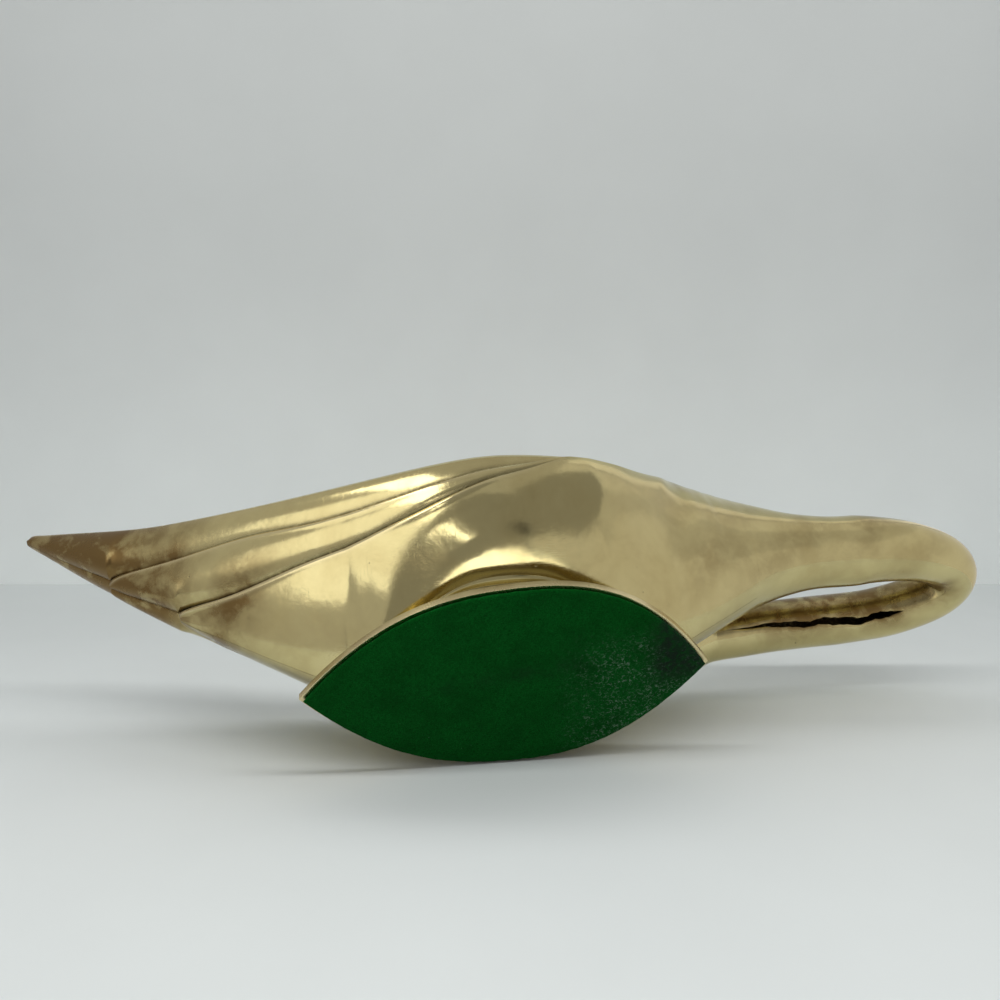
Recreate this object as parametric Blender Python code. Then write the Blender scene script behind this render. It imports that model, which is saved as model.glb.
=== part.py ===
"""A brass swan planter, standing on its leaf-shaped foot.

The bowl is a double-ended boat: two cast half shells that meet in the middle plane, with three overlapping
feathers sweeping back to a scalloped tail on each side. The bow closes over into a hollow neck, which turns
back beside the swan's left shoulder and ends in a head with its bill against the flank. A thin leaf-shaped
plate closes the bottom, with a felt pad under it.

Metres. +X points to the swan's breast, +Y to its left, +Z up. The origin is the middle of the felt's underside.
"""

import math

import bmesh
import bpy
import numpy as np

# Foot
FOOT_LENGTH = 0.140
FOOT_WIDTH = 0.080
FOOT_FULLNESS = 2.43
FOOT_FORWARD_FULLNESS = 0.078
FELT_THICKNESS = 0.0015
FELT_INSET = 0.0007
PLATE_THICKNESS = 0.0025
FIT_GAP = 0.0003

# Bowl: where it stands on the plate, its rim, and its two ends
WALL = 0.003
HULL_AFT = 0.052
HULL_FORE = 0.053
HULL_INSET = 0.001
HULL_FULLNESS = 2.2
RIM_HALF_WIDTH = 0.0625
RIM_HEIGHT = 0.0453
TAIL_REACH = 0.176
TAIL_TIP_HEIGHT = 0.102
TAIL_TIP_DEPTH = 0.003
RIM_SOFTNESS = 0.12
RIM_AFT_TAPER = 1.25
KEEL_AFT_RISE = 1.13
MOUTH_FORE = 0.088
RIM_FORE_FULLNESS = (2.1, 0.70)
RIM_FORE_RISE = 2.4
BREAST_CLOSING = 2.2
BREAST_HEIGHT = 0.0870
FLANK_FLARE = math.radians(113)
WAIST_PULL = 0.45
FLANK_PULL = 0.36
MID_FLANK_PULL = 0.44
BREAST_PULL = 0.46
STERN_FLARE = math.radians(6)
BOW_FLARE = math.radians(4)
RIM_LEAN = math.radians(86)
STERN_ROUNDING = 0.0062
BOW_ROUNDING = 0.0110

# Feathers: where each trailing edge leaves the keel, and where both start at the rim
FEATHER_NOTCHES = (0.1135, 0.1405)
FEATHER_ROOT = 0.027
FEATHER_LEVELS = (0.64, 0.81)
FEATHER_SWEEPS = (2.1, 2.9)
FEATHER_RISES = (1.8, 2.5)
FEATHER_STEP = 0.0030
FEATHER_CROWN = 0.0020

# Neck
NECK_ROOT_X = 0.100
NECK_ROOT_HEIGHT = 0.0585
NECK_ROOT_HALF_HEIGHT = 0.0265
NECK_ROOT_HALF_WIDTH = 0.0200
NECK_ROOT_FLARE = 0.36
NECK_ROOT_BLEND_START = 0.066
NECK_RADIUS = 0.0142
NECK_BEND_RADIUS = 0.0105
NECK_FAR_RADIUS = 0.0118
NECK_WALL = 0.0022
NECK_NEAR_HEIGHT = 0.0530
NECK_LOOP_RISE = 0.0057
NECK_NEAR_LENGTH = 0.0505
NECK_BEND_REACH = 0.0490
NECK_FAR_LENGTH = 0.053
NECK_SPACING_SHARE = 0.624
NECK_SEAM_TILT = math.radians(37)
SLOT_WIDTH = 0.0026
SLOT_LENGTH = 0.068
SLOT_END_MARGIN = 0.004

# Head
HEAD_HALF_WIDTH = 0.0138
HEAD_HALF_HEIGHT = 0.0142
HEAD_LENGTH = 0.030
BILL_LENGTH = 0.026
BILL_HALF_WIDTH = 0.0062
BILL_HALF_HEIGHT = 0.0040
BILL_ROOT_SCALE = (1.15, 1.5)
BILL_TAPER = (0.25, 0.8)
BILL_END_SCALE = 0.12
HEAD_TURN = math.radians(11)
HEAD_DROP = math.radians(10)

# How finely the curved faces are divided
HULL_ROWS = (7, 4, 4)
NECK_SIDES = 10
HEAD_SIDES = 16

NECK_FAR_HEIGHT = NECK_NEAR_HEIGHT + NECK_LOOP_RISE
NECK_SPACING = NECK_SPACING_SHARE * RIM_HALF_WIDTH
FELT_TOP = FELT_THICKNESS
PLATE_BOTTOM = FELT_TOP + FIT_GAP
PLATE_TOP = PLATE_BOTTOM + PLATE_THICKNESS
HULL_BOTTOM = PLATE_TOP + FIT_GAP

BRASS = (0.46, 0.36, 0.15)
DARK_BRASS = (0.36, 0.27, 0.10)
GREEN = (0.004, 0.052, 0.020)


def smooth(value):
    """Eases from 0 to 1."""
    value = min(max(value, 0.0), 1.0)
    return value * value * (3.0 - 2.0 * value)


def foot_half_width(x, length=FOOT_LENGTH, width=FOOT_WIDTH):
    """The leaf outline of the foot: pointed at both ends, and fuller towards the breast."""
    along = min(abs(2.0 * x / length), 1.0)
    lean = 1.0 + FOOT_FORWARD_FULLNESS * 2.0 * x / length
    return 0.5 * width * (1.0 - along**FOOT_FULLNESS) * lean


def rim_point(x):
    """The rim's distance from the middle plane and its height."""
    if x <= 0.0:
        along = math.hypot(min(-x / TAIL_REACH, 1.0), RIM_SOFTNESS) - RIM_SOFTNESS
        along /= math.hypot(1.0, RIM_SOFTNESS) - RIM_SOFTNESS
        out = RIM_HALF_WIDTH * (1.0 - along) ** RIM_AFT_TAPER
        return out, RIM_HEIGHT + (TAIL_TIP_HEIGHT - RIM_HEIGHT) * along
    along = min(x / MOUTH_FORE, 1.0)
    fullness, ending = RIM_FORE_FULLNESS
    out = RIM_HALF_WIDTH * max(1.0 - along**fullness, 0.0) ** ending
    return out, RIM_HEIGHT + (BREAST_HEIGHT - RIM_HEIGHT) * along**RIM_FORE_RISE


def bottom_point(x):
    """Where the flank starts: on the plate, or on the keel that rises towards either end."""
    if -HULL_AFT < x < HULL_FORE:
        along = abs(x) / (HULL_AFT if x < 0.0 else HULL_FORE)
        return (0.5 * FOOT_WIDTH - HULL_INSET) * (1.0 - along**HULL_FULLNESS), HULL_BOTTOM
    if x < 0.0:
        along = (-x - HULL_AFT) / (TAIL_REACH - HULL_AFT)
        return 0.0, HULL_BOTTOM + (TAIL_TIP_HEIGHT - TAIL_TIP_DEPTH - HULL_BOTTOM) * along**KEEL_AFT_RISE
    along = (x - HULL_FORE) / (NECK_ROOT_X - HULL_FORE)
    lowest = NECK_ROOT_HEIGHT - NECK_ROOT_HALF_HEIGHT
    return 0.0, HULL_BOTTOM + (lowest - HULL_BOTTOM) * along


def flank(x, up):
    """A point of the flank's plain section at x, and the way out of it. up is 0 at the bottom and 1 at the rim."""
    ends = smooth(abs(x) / HULL_FORE)
    start_lean = (1.0 - ends) * FLANK_FLARE + ends * (STERN_FLARE if x < 0.0 else BOW_FLARE)
    closing = min(max((x - 0.5 * MOUTH_FORE) / (0.5 * MOUTH_FORE), 0.0), 1.0) ** BREAST_CLOSING
    end_lean = RIM_LEAN + (math.pi - RIM_LEAN) * closing
    first, last = np.array(bottom_point(x)), np.array(rim_point(x))
    chord = np.linalg.norm(last - first)
    forward = smooth((x - HULL_FORE) / (0.8 * (NECK_ROOT_X - HULL_FORE)))
    end_pull = FLANK_PULL + (MID_FLANK_PULL - FLANK_PULL) * (1.0 - ends) + (BREAST_PULL - FLANK_PULL) * forward
    third = last - end_pull * chord * np.array((math.cos(end_lean), math.sin(end_lean)))
    rounding = STERN_ROUNDING if x < 0.0 else BOW_ROUNDING
    keel_pull = math.sqrt(rounding * 2.0 / 3.0 * max(third[1] - first[1], 0.0))
    start_pull = (1.0 - ends) * WAIST_PULL * chord + ends * keel_pull
    second = first + start_pull * np.array((math.cos(start_lean), math.sin(start_lean)))
    down = 1.0 - up
    place = down**3 * first + 3 * down**2 * up * second + 3 * down * up**2 * third + up**3 * last
    way = down**2 * (second - first) + 2 * down * up * (third - second) + up**2 * (last - third)
    out = np.array((way[1], -way[0])) / np.linalg.norm(way)
    round_part = smooth((x - NECK_ROOT_BLEND_START) / (NECK_ROOT_X - NECK_ROOT_BLEND_START))
    if round_part > 0.0:
        turn = math.pi * up
        oval = np.array((math.sin(turn), -math.cos(turn)))
        radii = np.array((NECK_ROOT_HALF_WIDTH, NECK_ROOT_HALF_HEIGHT)) + NECK_ROOT_FLARE * (NECK_ROOT_X - x)
        oval_place = np.array((0.0, NECK_ROOT_HEIGHT)) + oval * radii
        place = (1.0 - round_part) * place + round_part * oval_place
        oval_out = oval / radii
        out = (1.0 - round_part) * out + round_part * oval_out / np.linalg.norm(oval_out)
        out /= np.linalg.norm(out)
    return place, out


def feather_line(x, index):
    """How far up the flank a feather's upper edge runs: below 0 aft of its notch, 1 where it reaches the rim."""
    notch, level = -FEATHER_NOTCHES[index], FEATHER_LEVELS[index]
    settled = -0.5 * HULL_AFT - 0.25 * TAIL_REACH if index else -HULL_AFT
    if x < notch:
        return (x - notch) / (0.25 * TAIL_REACH)
    back = level * (1.0 - max(1.0 - (x - notch) / (settled - notch), 0.0) ** FEATHER_SWEEPS[index])
    middle = -0.7 * HULL_AFT
    rise = min(max((x - middle) / (FEATHER_ROOT - middle), 0.0), 1.0) ** FEATHER_RISES[index]
    return min(back + (1.0 - level) * rise, 1.0)


def feather_fade(x, index):
    """The feathers stand out most at the tail, and die away where they start at the rim."""
    notch = -FEATHER_NOTCHES[index]
    return min(max((FEATHER_ROOT - x) / (FEATHER_ROOT - notch), 0.0), 1.0)


def feather_relief(x, up, feather):
    """How far a feather's face stands out of the plain section: a low crown, with a hollow at its lower edge."""
    if feather == 0:
        return 0.0
    low = feather_line(x, feather - 1)
    high = feather_line(x, feather) if feather == 1 else 1.0
    across = min(max((up - low) / max(high - low, 1e-6), 0.0), 1.0)
    fade = feather_fade(x, feather - 1)
    tip = smooth((x + TAIL_REACH) / (0.2 * TAIL_REACH))
    crown = FEATHER_CROWN * fade**2 * tip * 4.0 * across * (1.0 - across)
    return crown - FEATHER_STEP * fade * (1.0 - across) ** 3


def shell_rows(x):
    """The outer and inner points of one half section, as pairs of (distance out, height)."""
    lines = [0.0, max(feather_line(x, 0), 0.0), max(feather_line(x, 1), 0.0), 1.0]
    height = rim_point(x)[1] - bottom_point(x)[1]
    deepest = FEATHER_STEP * max(feather_fade(x, 0), feather_fade(x, 1))
    outer, inner = [], []
    for feather, rows in enumerate(HULL_ROWS):
        for row in range(rows + 1):
            up = lines[feather] + (lines[feather + 1] - lines[feather]) * row / rows
            place, out = flank(x, up)
            relief = feather_relief(x, up, feather)
            wall = min(WALL + deepest * (1.0 - smooth((up - 0.85) / 0.15)), 0.4 * height)
            outer.append(place + out * relief)
            inner.append(place - out * wall)
    half_gap = 0.5 * FIT_GAP
    for points in (outer, inner):
        for point in points:
            point[0] = max(point[0], half_gap)
            point[1] = max(point[1], HULL_BOTTOM)
    return outer, inner


def stations():
    """Where the bowl is cut into sections: closer together at the notches and over the closing breast."""
    second, first = -FEATHER_NOTCHES[1], -FEATHER_NOTCHES[0]
    step = 0.0006
    spans = (
        (-TAIL_REACH, second - step, 5),
        (second, first - step, 5),
        (first, -HULL_AFT, 7),
        (-HULL_AFT, FEATHER_ROOT, 9),
        (FEATHER_ROOT, HULL_FORE, 5),
        (HULL_FORE, MOUTH_FORE, 5),
        (MOUTH_FORE, NECK_ROOT_X, 3),
    )
    places = []
    for start, end, count in spans:
        places.extend(np.linspace(start, end, count + 1).tolist())
    return [place for index, place in enumerate(places) if index == 0 or place - places[index - 1] > 1e-7]


def material(name, colour, roughness, metallic):
    """A plain finish for one piece."""
    finish = bpy.data.materials.new(name)
    finish.use_nodes = True
    finish.diffuse_color = (*colour, 1.0)
    shader = finish.node_tree.nodes["Principled BSDF"]
    shader.inputs["Base Color"].default_value = (*colour, 1.0)
    shader.inputs["Roughness"].default_value = roughness
    shader.inputs["Metallic"].default_value = metallic
    return finish


def add_piece(name, mesh_builder, finish, angle=35.0):
    """Turns a finished bmesh into one named object of the planter."""
    bmesh.ops.remove_doubles(mesh_builder, verts=mesh_builder.verts, dist=1e-6)
    bmesh.ops.dissolve_degenerate(mesh_builder, dist=1e-6, edges=mesh_builder.edges)
    loose = [vert for vert in mesh_builder.verts if not vert.link_faces]
    bmesh.ops.delete(mesh_builder, geom=loose, context="VERTS")
    bmesh.ops.triangulate(mesh_builder, faces=mesh_builder.faces)
    bmesh.ops.recalc_face_normals(mesh_builder, faces=mesh_builder.faces)
    mesh = bpy.data.meshes.new(name)
    mesh_builder.to_mesh(mesh)
    mesh_builder.free()
    mesh.shade_smooth()
    mesh.set_sharp_from_angle(angle=math.radians(angle))
    mesh.materials.append(finish)
    piece = bpy.data.objects.new(name, mesh)
    planter.objects.link(piece)
    return piece


def thick_patch(outer, inner):
    """A wall between two grids of points: both faces, and the strip that joins them along all four edges."""
    builder = bmesh.new()
    grids = [[[builder.verts.new(point) for point in row] for row in grid] for grid in (outer, inner)]
    last_row, last_column = len(outer) - 1, len(outer[0]) - 1

    def quad(*corners):
        places = {tuple(round(value, 7) for value in corner.co) for corner in corners}
        if len(places) > 2:
            builder.faces.new(corners)

    for row in range(last_row):
        for column in range(last_column):
            for grid in grids:
                quad(
                    grid[row][column],
                    grid[row + 1][column],
                    grid[row + 1][column + 1],
                    grid[row][column + 1],
                )
    front, back = grids
    for row in range(last_row):
        for column in (0, last_column):
            quad(front[row][column], front[row + 1][column], back[row + 1][column], back[row][column])
    for column in range(last_column):
        for row in (0, last_row):
            quad(front[row][column], front[row][column + 1], back[row][column + 1], back[row][column])
    return builder


def body_half(name, side):
    """One cast half of the bowl. side is +1 for the swan's left and -1 for its right."""
    outer, inner = [], []
    for x in stations():
        outside, inside = shell_rows(x)
        outer.append([(x, side * out, up) for out, up in outside])
        inner.append([(x, side * out, up) for out, up in inside])
    builder = thick_patch(outer, inner)
    return add_piece(name, builder, material("body_brass", BRASS, 0.16, 1.0))


def leaf_plate(name, low, high, inset, finish, count=24):
    """A flat plate with the foot's leaf outline, drawn in by inset all round."""
    length, width = FOOT_LENGTH - 4.0 * inset, FOOT_WIDTH - 2.0 * inset
    turns = [math.pi * step / count for step in range(count + 1)]
    places = [-0.5 * length * math.cos(turn) for turn in turns]
    near = [(x, -foot_half_width(x, length, width)) for x in places]
    far = [(x, -y) for x, y in reversed(near[1:-1])]
    builder = bmesh.new()
    base = builder.faces.new([builder.verts.new((x, y, low)) for x, y in near + far])
    grown = bmesh.ops.extrude_face_region(builder, geom=[base])
    raised = [item for item in grown["geom"] if isinstance(item, bmesh.types.BMVert)]
    bmesh.ops.translate(builder, verts=raised, vec=(0.0, 0.0, high - low))
    return add_piece(name, builder, finish)


def neck_axis():
    """The neck's middle line, as places with the radius across and the radius up at each."""
    turn_radius = 0.5 * NECK_SPACING
    bend_x = NECK_ROOT_X + NECK_NEAR_LENGTH
    near, bend, far = 9, 12, 8
    places = []
    for step in range(near):
        along = step / near
        settled = 1.0 - (1.0 - along) ** 2.5
        width = NECK_ROOT_HALF_WIDTH + (NECK_RADIUS - NECK_ROOT_HALF_WIDTH) * settled
        tall = NECK_ROOT_HALF_HEIGHT + (NECK_RADIUS - NECK_ROOT_HALF_HEIGHT) * settled
        height = NECK_ROOT_HEIGHT + (NECK_NEAR_HEIGHT - NECK_ROOT_HEIGHT) * smooth(along)
        start = NECK_ROOT_X + FIT_GAP
        places.append((start + (bend_x - start) * along, 0.0, height, width, tall))
    for step in range(bend + 1):
        along = step / bend
        turn = math.pi * along
        plain = NECK_RADIUS + (NECK_FAR_RADIUS - NECK_RADIUS) * smooth(along)
        slim = plain + (NECK_BEND_RADIUS - plain) * math.sin(turn)
        height = NECK_NEAR_HEIGHT + (NECK_FAR_HEIGHT - NECK_NEAR_HEIGHT) * smooth(along**1.5)
        side = turn_radius * (1.0 - math.cos(turn))
        places.append((bend_x + NECK_BEND_REACH * math.sin(turn), side, height, slim, slim))
    for step in range(1, far + 1):
        along = step / far
        side = NECK_SPACING + 0.06 * NECK_FAR_LENGTH * along**2
        place = (bend_x - NECK_FAR_LENGTH * along, side, NECK_FAR_HEIGHT)
        places.append((*place, NECK_FAR_RADIUS, NECK_FAR_RADIUS))
    return np.array(places)


def neck_frames(axis):
    """For each place of the neck: the way towards the loop's inside, and the way up, both square to the axis."""
    ahead = np.gradient(axis[:, :3], axis=0)
    ahead /= np.linalg.norm(ahead, axis=1)[:, None]
    ahead[0] = (1.0, 0.0, 0.0)
    inward = np.cross(np.array((0.0, 0.0, 1.0)), ahead)
    inward /= np.linalg.norm(inward, axis=1)[:, None]
    return inward, np.cross(ahead, inward)


def slot_opening(along, total):
    """Half the angle that the open seam takes at a place on the neck, with the ragged edge of a poor casting."""
    end = total - SLOT_END_MARGIN
    start = end - SLOT_LENGTH
    if not start < along < end:
        return 0.0
    part = (along - start) / SLOT_LENGTH
    ragged = 1.0 + 0.35 * math.sin(19.0 * part) + 0.2 * math.sin(41.0 * part + 1.0)
    return 0.5 * SLOT_WIDTH / NECK_RADIUS * ragged * min(6.0 * part, 6.0 * (1.0 - part), 1.0)


def neck_half(name, first_turn, opened_edges):
    """Half of the neck's wall, split along its seam. opened_edges says which of its two edges the slot is in."""
    axis = neck_axis()
    inward, upward = neck_frames(axis)
    steps = np.linalg.norm(np.diff(axis[:, :3], axis=0), axis=1)
    lengths = np.concatenate(([0.0], np.cumsum(steps)))
    outer, inner = [], []
    for index, (x, y, z, wide, tall) in enumerate(axis):
        seam = 0.5 * FIT_GAP / min(wide, tall)
        opening = slot_opening(lengths[index], lengths[-1])
        start = first_turn + seam + (opening if opened_edges == "first" else 0.0)
        end = first_turn + math.pi - seam - (opening if opened_edges == "last" else 0.0)
        ring, bore = [], []
        for step in range(NECK_SIDES + 1):
            turn = start + (end - start) * step / NECK_SIDES
            way = (math.sin(turn), -math.cos(turn))
            for points, thinner in ((ring, 0.0), (bore, NECK_WALL)):
                offset = (wide - thinner) * way[0] * inward[index] + (tall - thinner) * way[1] * upward[index]
                points.append(tuple(np.array((x, y, z)) + offset))
        outer.append(ring)
        inner.append(bore)
    builder = thick_patch(outer, inner)
    return add_piece(name, builder, material("neck_brass", DARK_BRASS, 0.20, 1.0), 50.0)


def head(name):
    """The swan's head and bill, cast solid, from the neck's end to the bill's tip against the flank."""
    axis = neck_axis()
    ahead = axis[-1, :3] - axis[-2, :3]
    start = axis[-1, :3] + ahead / np.linalg.norm(ahead) * FIT_GAP
    length = HEAD_LENGTH + BILL_LENGTH
    rings, count = [], 18
    place = start.copy()
    aim = math.atan2(ahead[1], -ahead[0])
    for step in range(count + 1):
        part = step / count
        along = part * length
        turn = aim + HEAD_TURN * smooth(along / HEAD_LENGTH)
        drop = HEAD_DROP * smooth(along / HEAD_LENGTH)
        way = np.array((-math.cos(turn) * math.cos(drop), math.sin(turn) * math.cos(drop), -math.sin(drop)))
        if step:
            place = place + way * length / count
        side = np.cross(way, (0.0, 0.0, 1.0))
        side /= np.linalg.norm(side)
        up = np.cross(side, way)
        if along < HEAD_LENGTH:
            swell = math.sin(math.pi * along / HEAD_LENGTH) ** 2
            narrowing = smooth(2.0 * along / HEAD_LENGTH - 1.0)
            wide = NECK_FAR_RADIUS + (HEAD_HALF_WIDTH - NECK_FAR_RADIUS) * swell
            tall = NECK_FAR_RADIUS + (HEAD_HALF_HEIGHT - NECK_FAR_RADIUS) * swell
            wide += (BILL_ROOT_SCALE[0] * BILL_HALF_WIDTH - wide) * narrowing
            tall += (BILL_ROOT_SCALE[1] * BILL_HALF_HEIGHT - tall) * narrowing
        else:
            bill = (along - HEAD_LENGTH) / BILL_LENGTH
            tip = math.sqrt(max(1.0 - bill**4, 0.0))
            wide = BILL_HALF_WIDTH * max((BILL_ROOT_SCALE[0] - BILL_TAPER[0] * bill) * tip, BILL_END_SCALE)
            tall = BILL_HALF_HEIGHT * max((BILL_ROOT_SCALE[1] - BILL_TAPER[1] * bill) * tip, BILL_END_SCALE)
        ring = []
        for corner in range(HEAD_SIDES):
            angle = 2.0 * math.pi * corner / HEAD_SIDES
            ring.append(tuple(place + wide * math.cos(angle) * side + tall * math.sin(angle) * up))
        rings.append(ring)
    builder = bmesh.new()
    grid = [[builder.verts.new(point) for point in ring] for ring in rings]
    for near, far in zip(grid, grid[1:]):
        for corner in range(HEAD_SIDES):
            after = (corner + 1) % HEAD_SIDES
            builder.faces.new((near[corner], near[after], far[after], far[corner]))
    for ring in (grid[0], grid[-1]):
        builder.faces.new(ring)
    return add_piece(name, builder, material("head_brass", BRASS, 0.18, 1.0), 60.0)


def build():
    """Makes every piece of the planter."""
    body_half("body_left_half", 1.0)
    body_half("body_right_half", -1.0)
    leaf_plate("foot_plate", PLATE_BOTTOM, PLATE_TOP, 0.0, material("plate_brass", DARK_BRASS, 0.3, 1.0))
    leaf_plate("felt_pad", 0.0, FELT_TOP, FELT_INSET, material("green_felt", GREEN, 0.95, 0.0))
    neck_half("neck_inner_half", NECK_SEAM_TILT, "first")
    neck_half("neck_outer_half", NECK_SEAM_TILT + math.pi, "last")
    head("head")


for old in list(bpy.data.objects):
    bpy.data.objects.remove(old)
planter = bpy.data.collections.new("brass_swan_planter")
bpy.context.scene.collection.children.link(planter)
build()
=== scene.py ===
"""A brass swan planter lying on its side in a white studio box, with its felt-covered foot to the camera.

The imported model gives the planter's bodies, sizes and frame. This script makes the finely shaped pieces that
stand for its solids: two shells with overlapping feathers, the looped neck with its open seam, the head, the
foot plate with its brazed joint, and the felt. Each piece has a finish that changes over its surface.

Metres, in the planter's own frame: +X to the breast, +Y to the swan's left, +Z up when it stands.
"""
import logging
import math
from dataclasses import dataclass, field
from enum import Enum

import bpy
import numpy as np
from mathutils import Matrix, Vector


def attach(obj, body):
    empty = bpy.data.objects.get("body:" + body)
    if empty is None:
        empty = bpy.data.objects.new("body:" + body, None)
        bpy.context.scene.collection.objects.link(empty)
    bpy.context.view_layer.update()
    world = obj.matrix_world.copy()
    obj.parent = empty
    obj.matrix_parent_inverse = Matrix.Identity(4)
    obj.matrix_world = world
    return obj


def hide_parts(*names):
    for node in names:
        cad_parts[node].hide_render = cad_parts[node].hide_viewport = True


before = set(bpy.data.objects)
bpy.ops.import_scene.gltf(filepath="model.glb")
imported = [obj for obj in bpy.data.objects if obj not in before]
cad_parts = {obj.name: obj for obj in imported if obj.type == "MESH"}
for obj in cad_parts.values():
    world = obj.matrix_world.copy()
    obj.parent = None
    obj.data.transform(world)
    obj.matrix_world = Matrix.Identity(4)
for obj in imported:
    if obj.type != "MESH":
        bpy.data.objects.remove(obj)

LOG = logging.getLogger("swan_planter")
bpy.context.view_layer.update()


def held(value: np.ndarray) -> np.ndarray:
    """Keeps numbers between 0 and 1."""
    return np.clip(value, 0.0, 1.0)


def smooth(value: np.ndarray) -> np.ndarray:
    """Eases from 0 to 1."""
    value = held(value)
    return value * value * (3.0 - 2.0 * value)


def bell(value: np.ndarray, width: float) -> np.ndarray:
    """A soft bump of height 1 round 0, as wide as width."""
    return np.exp(-((value / width) ** 2))


def ripple(x: np.ndarray, y: np.ndarray, z: np.ndarray, step: float, phase: float) -> np.ndarray:
    """A slow uneven swell from -1 to 1, the same on each run.

    Args:
        x, y, z: places.
        step: the rough distance between two swells.
        phase: moves the swells.

    Returns:
        The swell at each place.
    """
    a, b, c = x / step, y / step, z / step
    total = np.sin(2.1 * a + 1.3 * b - 0.7 * c + phase)
    total = total + np.sin(-1.2 * a + 1.9 * c + 2.3 * phase + 0.5)
    total = total + np.sin(1.7 * b + 1.1 * c - 1.4 * a - phase)
    return total / 3.0


def curve(points: tuple[tuple[float, float], ...], at: float) -> float:
    """The height of a smooth curve through a few points, at one place along it."""
    runs, heights = np.array(points).T
    slopes = np.gradient(heights, runs)
    index = int(np.clip(np.searchsorted(runs, at) - 1, 0, len(runs) - 2))
    span = runs[index + 1] - runs[index]
    part = min(max((at - runs[index]) / span, 0.0), 1.0)
    start = (2 * part**3 - 3 * part**2 + 1) * heights[index]
    start = start + (part**3 - 2 * part**2 + part) * span * slopes[index]
    end = (3 * part**2 - 2 * part**3) * heights[index + 1]
    end = end + (part**3 - part**2) * span * slopes[index + 1]
    return float(start + end)


class Side(Enum):
    """The two sides of the swan."""

    LEFT = 1.0
    RIGHT = -1.0


class SeamEdge(Enum):
    """Which edge of a neck half the open seam is in."""

    FIRST = "first"
    LAST = "last"


@dataclass(frozen=True)
class PhotoAxes:
    """The directions of the camera's room in the planter's frame, and where the camera stands."""

    right: Vector = field(default_factory=lambda: Vector((0.987132, -0.028164, -0.157406)))
    ahead: Vector = field(default_factory=lambda: Vector((0.152387, 0.463989, 0.872636)))
    up: Vector = field(default_factory=lambda: Vector((0.048458, -0.885393, 0.462310)))
    camera: Vector = field(default_factory=lambda: Vector((-0.046490, -0.234605, -0.226704)))

    def place(self, right: float, ahead: float, up: float) -> Vector:
        """The point that far from the camera, in the planter's frame."""
        return self.camera + self.right * right + self.ahead * ahead + self.up * up

    @staticmethod
    def pose(place: Vector, right: Vector, up: Vector, back: Vector) -> Matrix:
        """Puts a thing at a place, with its local axes along three directions."""
        return Matrix.Translation(place) @ Matrix((right, up, back)).transposed().to_4x4()


ROOM = PhotoAxes()


def deselect_all() -> None:
    """Leaves edit mode and selects nothing."""
    if bpy.context.object is not None and bpy.context.object.mode != "OBJECT":
        bpy.ops.object.mode_set(mode="OBJECT")
    bpy.ops.object.select_all(action="DESELECT")


def make_active(piece: bpy.types.Object) -> None:
    """Selects one object and nothing else."""
    deselect_all()
    piece.select_set(True)
    bpy.context.view_layer.objects.active = piece


def named_active(name: str) -> bpy.types.Object:
    """Names the object that an operator has just added, and gives it back."""
    piece = bpy.context.object
    piece.name = piece.data.name = name
    return piece


def sheet_of_points(name: str, points: np.ndarray) -> bpy.types.Object:
    """A grid whose corners are put at the given places.

    Args:
        name: the new object's name.
        points: places as rows, columns, 3.

    Returns:
        The grid object, at the origin.
    """
    rows, columns = points.shape[:2]
    deselect_all()
    bpy.ops.mesh.primitive_grid_add(x_subdivisions=rows - 1, y_subdivisions=columns - 1, size=1.0)
    sheet = named_active(name)
    flat = points.transpose(1, 0, 2).reshape(-1)
    sheet.data.vertices.foreach_set("co", flat.astype(np.float32))
    sheet.data.update()
    return sheet


def walled_sheet(name: str, outer: np.ndarray, inner: np.ndarray) -> bpy.types.Object:
    """A wall between two grids of the same size, bridged all along their edges.

    Args:
        name: the new object's name.
        outer: places of the outer face, as rows, columns, 3.
        inner: places of the inner face, in the same order.

    Returns:
        The closed wall, at the origin.
    """
    wall = sheet_of_points(name, outer)
    lining = sheet_of_points(name + "_lining", inner)
    make_active(wall)
    lining.select_set(True)
    bpy.ops.object.join()
    bpy.ops.object.mode_set(mode="EDIT")
    bpy.ops.mesh.select_mode(type="EDGE")
    bpy.ops.mesh.select_all(action="DESELECT")
    bpy.ops.mesh.select_non_manifold(
        extend=False, use_wire=False, use_multi_face=False, use_verts=False)
    bpy.ops.mesh.bridge_edge_loops(type="PAIRS")
    bpy.ops.object.mode_set(mode="OBJECT")
    return wall


def tidy_mesh(piece: bpy.types.Object, angle: float, distance: float = 2e-6) -> bpy.types.Object:
    """Merges doubles, turns faces outwards and shades a closed piece smooth up to an angle."""
    make_active(piece)
    bpy.ops.object.mode_set(mode="EDIT")
    bpy.ops.mesh.select_all(action="SELECT")
    bpy.ops.mesh.remove_doubles(threshold=distance)
    bpy.ops.mesh.dissolve_degenerate(threshold=distance)
    bpy.ops.mesh.normals_make_consistent(inside=False)
    bpy.ops.object.mode_set(mode="OBJECT")
    bpy.ops.object.shade_smooth_by_angle(angle=math.radians(angle))
    return piece


def places_of(piece: bpy.types.Object) -> np.ndarray:
    """The places of a mesh's corners, as count, 3."""
    places = np.empty(3 * len(piece.data.vertices), dtype=np.float32)
    piece.data.vertices.foreach_get("co", places)
    return places.reshape(-1, 3).astype(float)


def paint(piece: bpy.types.Object, **marks: np.ndarray) -> None:
    """Writes named numbers for each corner of a mesh, for its finish to read."""
    for name, values in marks.items():
        layer = piece.data.attributes.new(name, "FLOAT", "POINT")
        layer.data.foreach_set("value", values.astype(np.float32))


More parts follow.
